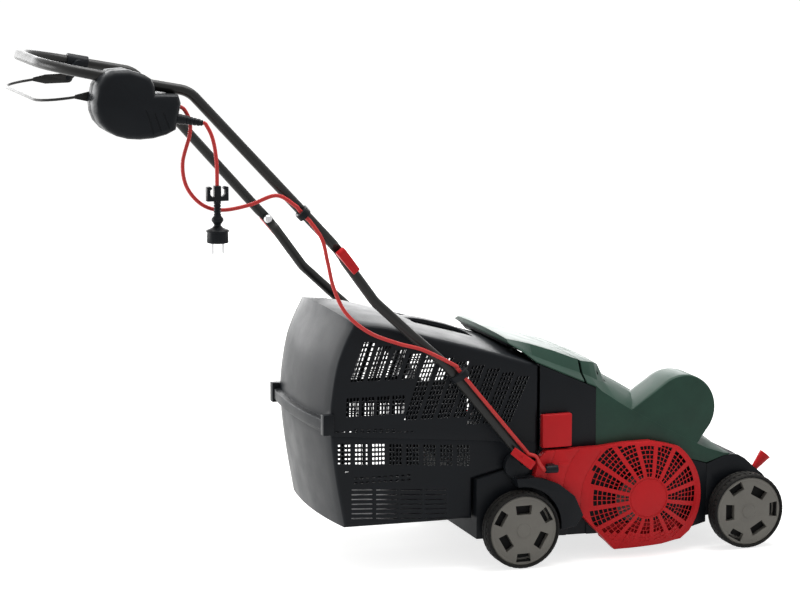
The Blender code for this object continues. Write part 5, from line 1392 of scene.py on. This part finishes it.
def make_lever(name, pivot, angle, face_y, sign):
    """A cam lever: a round head against the tongue and a blade that narrows to a rounded tip."""
    along = Vector((math.cos(math.radians(angle)), math.sin(math.radians(angle))))
    across = Vector((-along.y, along.x))
    head = 0.008
    middle = face_y + head + GAP
    profile = arc((0.0, middle), head, 60, 300, 24)
    blade = [(0.012, -0.0035), (0.026, -0.0026), (0.040, -0.0015), (0.0445, 0.0002)]
    blade += [(0.0455, 0.002), (0.0445, 0.004), (0.036, 0.0058), (0.022, 0.0068)]
    profile += [(u, middle + rise) for u, rise in blade]
    rings = []
    lower = ((-0.0085, 0.0012), (-0.0078, 0.0003), (-0.0065, 0.0))
    for step, cut in (*lower, *((-step, cut) for step, cut in reversed(lower))):
        outline = inset(profile, cut) if cut else profile
        ring = []
        for u, y in outline:
            place = Vector(pivot) + along * u + across * step * (1.0 - 0.12 * max(0.0, u / 0.045))
            ring.append((place.x, sign * y, place.y))
        rings.append(ring)
    lever = loft(name, rings)
    tip = Vector(pivot) + along * 0.034
    groove = capsule(tip - along * 0.008, tip + along * 0.004, 0.0028)
    combine(lever, slab("groove", groove, *span(sign, middle + 0.0052, middle + 0.012)))
    return soften(lever, 0.0004, 2, 40)


class SCARIFIER_OT_levers(bpy.types.Operator):
    """Build the four red cam levers and the height lever"""

    bl_idname = "scarifier.levers"
    bl_label = "Levers"

    def execute(self, context):
        tongue = TONGUE_INNER_Y + TONGUE_THICKNESS
        for name, pivot, angle, face in (
            ("lower_lever", HANDLE_PIVOT, 141.7, tongue + GAP),
            ("clamp_lever", CLAMP, -51.8, tongue + 2 * GAP + TONGUE_THICKNESS),
        ):
            for side, sign in SIDES:
                lever = make_lever(f"{name}_{side}_look", pivot, angle, face, sign)
                dress(lever, "red_plastic", f"{name}_{side}", f"{name}_{side}")
        make_height_lever()
        return {"FINISHED"}


def make_height_lever():
    base, tip = Vector((0.501, 0.139)), Vector((0.526, 0.167))
    y0, y1 = -LEVER_Y - 0.004, -LEVER_Y + 0.004
    direction = (tip - base).normalized()
    arm = slab("depth_lever_look", capsule(CRANK_AXIS, tuple(base), 0.0058), y0, y1)
    boss = [(0, y0), (0.0115, y0), (0.0125, y0 + 0.001), (0.0125, y1 - 0.001), (0.0115, y1), (0, y1)]
    combine(arm, turned("boss", boss, CRANK_AXIS, 40), "UNION")
    start = Vector((base.x, -LEVER_Y, base.y)) - Vector((direction.x, 0, direction.y)) * 0.006
    long = (tip - base).length + 0.006
    grip = [(0, 0), (0.0055, 0), (0.0062, 0.0012), (0.0066, 0.012), (0.0090, 0.026), (0.0115, long - 0.003)]
    grip += [(0.0122, long - 0.0012), (0.0122, long - 0.0003), (0.0115, long), (0.0102, long)]
    grip += [(0.0088, long - 0.0055), (0.0, long - 0.0075)]
    grip = aimed(turned("grip", grip, steps=48, shift=Vector()), start, (direction.x, 0, direction.y))
    combine(arm, grip, "UNION")
    combine(arm, rod("bore", 0.0073, y0 - 0.01, y1 + 0.01, CRANK_AXIS, 32))
    soften(arm, 0.0005, 2, 50)
    dress(arm, "red_plastic", "front_crank", "depth_lever")


# Switch box and bail


def cut_box_ribs(box):
    """Three curved grooves across the lower front corner, as deep as the outline's steps."""
    for line in (
        [(-0.7150, 0.8850), (-0.7075, 0.8640), (-0.7030, 0.8450), (-0.6990, 0.8300)],
        [(-0.6990, 0.8790), (-0.6925, 0.8590), (-0.6875, 0.8440), (-0.6830, 0.8330)],
        [(-0.6840, 0.8790), (-0.6775, 0.8620), (-0.6720, 0.8480), (-0.6680, 0.8380)],
    ):
        combine(box, slab("groove", strip(line, 0.0030), -BOX_OUTER_Y - 0.006, -BOX_OUTER_Y + 0.0016))


class SCARIFIER_OT_switch_box(bpy.types.Operator):
    """Build the switch box, its button, the bail and the bail's bracket"""

    bl_idname = "scarifier.switch_box"
    bl_label = "Switch box and bail"

    def execute(self, context):
        for node, body, look, width in (
            ("switch_box_outer", "upper_handle", "black_plastic", 0.0010),
            ("switch_box_inner", "upper_handle", "black_plastic", 0.0010),
            ("bail_bracket_left", "upper_handle", "black_plastic", 0.0006),
            ("bail", "bail", "black_paint", 0.0004),
            ("safety_button", "safety_button", "red_plastic", 0.0004),
        ):
            piece = tidy_copy(node, node + "_look")
            if node == "switch_box_outer":
                cut_box_ribs(piece)
            soften(piece, width, 2, 40)
            slot = "black_steel" if look == "black_paint" else look
            dress(piece, look, body, node, slot=slot)
        return {"FINISHED"}


# Leads


def straight_end(point, direction, reach_out):
    """Three points in line: the end of a route, then two along its direction."""
    step = Vector(direction).normalized() * reach_out
    return [tuple(Vector(point)), tuple(Vector(point) + step * 0.5), tuple(Vector(point) + step)]


def lead_piece(name, route):
    line = even_line(curve_through(route, 20), 0.0035)
    return smooth(bar(name, line, LEAD_RADIUS, 20), 50), line


def lead_places():
    """The points where the fixed lead's four lengths meet, and the directions there."""
    path = handle_path()
    slant = (path[1] - path[0]).normalized()
    axis = Vector((0, -1, -0.4))
    across = (axis - slant * axis.dot(slant)).normalized()
    eye_upper = path[0] + slant * 0.080 + across * LEAD_STANDOFF
    low = (Vector(LOWER_BENDS[0]) - Vector(HANDLE_PIVOT)).normalized()
    lower = Vector(HANDLE_PIVOT) + low * 0.222
    along = Vector((low.x, 0, low.y))
    raw = Vector((low.y, -1.0, -low.x))
    out = (raw - along * raw.dot(along)).normalized()
    eye_lower = Vector((lower.x, -LOWER_TUBE_Y, lower.y)) + out * LEAD_STANDOFF
    pivot = Vector((HANDLE_PIVOT[0], -LOWER_TUBE_Y, HANDLE_PIVOT[1]))
    near_pivot = pivot + raw.normalized() * LEAD_STANDOFF + along * 0.036
    return slant, eye_upper, along, eye_lower, near_pivot


def make_fixed_lead():
    slant, eye_upper, along, eye_lower, near_pivot = lead_places()
    upper_cut, lower_cut = eye_upper - slant * 0.008, eye_lower + along * 0.008
    lower_end = near_pivot - along * 0.012
    upper = [
        (-0.6492, -0.2150, 0.8870), (-0.6450, -0.2150, 0.8850), (-0.6370, -0.2150, 0.8790),
        (-0.6285, -0.2155, 0.8600), (-0.6285, -0.2155, 0.8350), (-0.6420, -0.2160, 0.7860),
        (-0.6350, -0.2165, 0.7430), (-0.6080, -0.2170, 0.7110), (-0.5720, -0.2190, 0.7000),
        (-0.5250, -0.2290, 0.7080), (-0.4780, -0.2380, 0.7240),
        *straight_end(eye_upper + slant * 0.022, -slant, 0.022),
        tuple(upper_cut),
    ]
    middle = [
        *straight_end(upper_cut - slant * GAP, -slant, 0.012),
        (-0.3960, -0.2480, 0.6420), (-0.3860, -0.2485, 0.6000), (-0.3740, -0.2470, 0.5520),
        (-0.3500, -0.2450, 0.5050), (-0.3060, -0.2420, 0.4680), (-0.2500, -0.2390, 0.4440),
        (-0.2000, -0.2350, 0.4280),
        *straight_end(lower_cut + along * 0.014, -along, 0.014 - GAP),
    ]
    lower = [tuple(lower_cut)] + [tuple(lower_cut.lerp(lower_end, s)) for s in (0.05, 0.25, 0.5, 0.75, 0.95)]
    lower += [tuple(lower_end)]
    pivot = [
        *straight_end(lower_end - along * GAP, -along, 0.010),
        (0.0240, -0.2300, 0.2120), (0.0330, -0.2290, 0.1960),
        *straight_end(LEAD_ENTRY, (1, 0, 0), 0.008 - GAP),
    ]
    for node, route, body in (("lead_upper", upper, "upper_handle"), ("lead_lower", lower, "lower_handle")):
        piece, _ = lead_piece(node + "_look", route)
        dress(piece, "red_lead", body, node)
    for node, route, first, last in (
        ("lead_clamp_bend", middle, "lower_handle", "upper_handle"),
        ("lead_pivot_bend", pivot, "chassis", "lower_handle"),
    ):
        piece, line = lead_piece(node + "_look", route)
        set_look(piece, "red_lead")
        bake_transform(piece)
        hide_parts(node)


def relief_place():
    low, high = Vector((-0.6596, 0.8477)), Vector((-0.6500, 0.8937))
    edge = (high - low).normalized()
    out = Vector((edge.y, -edge.x))
    start = low + edge * 0.019 + out * GAP
    return Vector((start.x, PLUG_PLACE[1] + 0.010, start.y)), Vector((out.x, 0, out.y))


def make_plug_lead():
    origin, direction = relief_place()
    sleeve_length = 0.047
    sleeve = [(0, 0), (0.009, 0), (0.009, 0.0075)]
    for k in range(5):
        y = 0.010 + k * 0.007
        radius = 0.0084 - k * 0.00055
        sleeve += [(radius, y), (radius, y + 0.0042)]
        sleeve += [(radius - 0.0012, y + 0.0050), (radius - 0.0014, y + 0.0064)]
    sleeve += [(0.0055, 0.0460), (0.0052, sleeve_length), (0, sleeve_length)]
    relief = aimed(turned("lead_relief_look", sleeve, steps=40, shift=Vector()), origin, direction)
    smooth(relief, 40)
    dress(relief, "black_plastic", "upper_handle", "lead_relief")
    tip = origin + direction * (sleeve_length + 2 * GAP)
    top, x, y = 0.7465, PLUG_PLACE[0], PLUG_PLACE[1]
    route = [
        *straight_end(tip, direction, 0.005),
        (-0.5945, -0.2325, 0.8370), (-0.5895, -0.2350, 0.8170), (-0.5870, -0.2380, 0.7930),
        (-0.5864, -0.2395, 0.7700), (x, y, top + 0.008), (x, y, top + 0.004), (x, y, top + GAP),
    ]
    lead, line = lead_piece("plug_lead_look", route)
    dress(lead, "red_lead", "upper_handle", "plug_lead")
    retainer = dress_copy("cord_retainer", "black_plastic", "upper_handle", 0.0009, 3, 40)
    plug = make_plug(x, y)


def make_plug(x, y):
    neck_top = 0.7195 - GAP
    long = neck_top - 0.6455
    profile = [(0, 0), (0.0058, 0), (0.0065, 0.0008)]
    for k in range(4):
        at = 0.0045 + 0.0052 * k
        profile += [(0.0065, at), (0.0052, at + 0.0006), (0.0052, at + 0.0018), (0.0065, at + 0.0024)]
    profile += [(0.0065, 0.0260), (0.0098, 0.0300), (0.0105, 0.0312), (0.0105, 0.0345), (0.0092, 0.0368)]
    profile += [(0.0062, 0.0412), (0.0062, 0.0432), (0.0100, 0.0468), (0.0150, 0.0492), (0.0198, 0.0508)]
    profile += [(0.0205, 0.0516), (0.0205, 0.0536), (0.0198, 0.0543), (0.0188, 0.0546), (0.0191, 0.0640)]
    profile += [(0.0193, long - 0.0010), (0.0186, long), (0.0160, long)]
    profile += [(0.0150, long - 0.0012), (0, long - 0.0012)]
    plug = turned("plug_look", profile, steps=48, shift=Vector())
    notches = []
    for k in range(18):
        a = 2 * math.pi * (k + 0.5) / 18
        c, s = math.cos(a), math.sin(a)
        corners = ((0.0187, -0.0009), (0.0215, -0.0011), (0.0215, 0.0011), (0.0187, 0.0009))
        notches.append([(r * c - w * s - SHIFT.x, r * s + w * c) for r, w in corners])
    combine(plug, blocks("flutes", notches, long - 0.0150, long - 0.0025))
    pins = []
    for offset in (-0.0095, 0.0095):
        pin = [(0, 0), (0.0024, 0), (0.0024, 0.0195), (0.0020, 0.0212), (0.0010, 0.0219), (0, 0.0219)]
        pins.append(aimed(turned("pin", pin, steps=20, shift=Vector()), (x + offset, y, 0.6465), (0, 0, -1)))
    aimed(plug, (x, y, neck_top), (0, 0, -1))
    smooth(plug, 40)
    dress(plug, "black_plastic", "upper_handle", "plug")
    both = smooth(join("plug_pins", *pins), 40)
    dress(both, "bright_steel", "upper_handle")
    return plug


class SCARIFIER_OT_leads(bpy.types.Operator):
    """Build the fixed lead, the short mains lead, its retainer and its plug"""

    bl_idname = "scarifier.leads"
    bl_label = "Leads and plug"

    def execute(self, context):
        make_fixed_lead()
        make_plug_lead()
        return {"FINISHED"}


# Studio


def make_camera():
    data = bpy.data.cameras.new("photo_view")
    data.lens = CAMERA_LENS
    data.sensor_width = 36.0
    camera = bpy.data.objects.new("photo_view", data)
    camera.location = CAMERA_PLACE
    camera.rotation_euler = (math.pi / 2 - CAMERA_DIP, 0.0, CAMERA_TURN)
    bpy.context.scene.collection.objects.link(camera)
    bpy.context.scene.camera = camera


def seen_rays(tree):
    """One for rays that the camera, a mirror or glass sees, and zero for the rest."""
    rays = tree.nodes.new("ShaderNodeLightPath")
    seen = maths(tree, "MAXIMUM", rays.outputs["Is Camera Ray"], rays.outputs["Is Glossy Ray"])
    return maths(tree, "MAXIMUM", seen, rays.outputs["Is Transmission Ray"])


def make_world(level):
    world = bpy.data.worlds.new("studio")
    world.use_nodes = True
    tree = world.node_tree
    backdrop = tree.nodes["Background"]
    backdrop.inputs["Color"].default_value = (1, 1, 1, 1)
    tree.links.new(spread(tree, seen_rays(tree), 0.0, 1.0, level, BACKDROP_GLOW), backdrop.inputs["Strength"])
    bpy.context.scene.world = world


def make_floor(tone):
    clear_selection()
    bpy.ops.mesh.primitive_plane_add(size=40.0, location=(0, 0, -0.0005))
    floor = bpy.context.object
    floor.name = "studio_floor"
    material = bpy.data.materials.new("studio_floor")
    material.use_nodes = True
    tree = material.node_tree
    shader = tree.nodes["Principled BSDF"]
    shader.inputs["Base Color"].default_value = (*tone, 1.0)
    shader.inputs["Roughness"].default_value = 0.9
    shader.inputs["Specular IOR Level"].default_value = 0.0
    shader.inputs["Emission Color"].default_value = (1, 1, 1, 1)
    tree.links.new(maths(tree, "MULTIPLY", seen_rays(tree), FLOOR_GLOW), shader.inputs["Emission Strength"])
    floor.data.materials.append(material)


def make_lamp(name, place, target, width, height, power):
    data = bpy.data.lights.new(name, "AREA")
    data.shape = "RECTANGLE"
    data.size, data.size_y = width, height
    data.energy = power
    lamp = bpy.data.objects.new(name, data)
    lamp.location = place
    lamp.rotation_euler = (Vector(target) - Vector(place)).to_track_quat("-Z", "Y").to_euler()
    lamp.visible_camera = False
    bpy.context.scene.collection.objects.link(lamp)


class SCARIFIER_OT_studio(bpy.types.Operator):
    """Set up the lamps, the world and the floor"""

    bl_idname = "scarifier.studio"
    bl_label = "Studio"

    def execute(self, context):
        studio = context.scene.scarifier_studio
        make_world(studio.world)
        make_floor(studio.floor)
        make_lamp("back_light", (-0.3, 4.0, 1.2), (0.0, 0.0, 0.3), 6.4, 2.0, studio.back)
        make_lamp("top_light", (0.3, 0.35, 3.2), (0.2, 0.2, 0.3), 3.0, 1.8, studio.top)
        make_lamp("rear_light", (-3.4, 1.2, 0.9), (-0.2, 0.0, 0.3), 1.6, 1.6, studio.rear)
        context.scene.view_settings.view_transform = "Standard"
        return {"FINISHED"}


class SCARIFIER_OT_camera(bpy.types.Operator):
    """Put the camera where the photograph was taken from"""

    bl_idname = "scarifier.camera"
    bl_label = "Camera"

    def execute(self, context):
        make_camera()
        return {"FINISHED"}


STEPS = (
    SCARIFIER_OT_camera,
    SCARIFIER_OT_looks,
    SCARIFIER_OT_leads,
    SCARIFIER_OT_wheels,
    SCARIFIER_OT_chassis,
    SCARIFIER_OT_hood,
    SCARIFIER_OT_belt_cover,
    SCARIFIER_OT_flap,
    SCARIFIER_OT_catcher,
    SCARIFIER_OT_handle,
    SCARIFIER_OT_levers,
    SCARIFIER_OT_switch_box,
    SCARIFIER_OT_studio,
)
SETTINGS = (ScarifierColours, ScarifierSizes, ScarifierStudio)


class SCARIFIER_PT_panel(bpy.types.Panel):
    """Lists the steps that build the scarifier"""

    bl_label = "Lawn Scarifier"
    bl_space_type = "VIEW_3D"
    bl_region_type = "UI"
    bl_category = "Scarifier"

    def draw(self, context):
        scene = context.scene
        for group in (scene.scarifier_colours, scene.scarifier_sizes, scene.scarifier_studio):
            box = self.layout.box()
            for name in group.bl_rna.properties.keys():
                if name not in ("rna_type", "name"):
                    box.prop(group, name)
        for step in STEPS:
            self.layout.operator(step.bl_idname)


def register():
    for item in (*SETTINGS, *STEPS, SCARIFIER_PT_panel):
        bpy.utils.register_class(item)
    bpy.types.Scene.scarifier_colours = bpy.props.PointerProperty(type=ScarifierColours)
    bpy.types.Scene.scarifier_sizes = bpy.props.PointerProperty(type=ScarifierSizes)
    bpy.types.Scene.scarifier_studio = bpy.props.PointerProperty(type=ScarifierStudio)


def unregister():
    del bpy.types.Scene.scarifier_studio
    del bpy.types.Scene.scarifier_sizes
    del bpy.types.Scene.scarifier_colours
    for item in reversed((*SETTINGS, *STEPS, SCARIFIER_PT_panel)):
        bpy.utils.unregister_class(item)


def main():
    register()
    for step in STEPS:
        group, name = step.bl_idname.split(".")
        getattr(getattr(bpy.ops, group), name)()
    clear_selection()


if __name__ == "__main__":
    main()
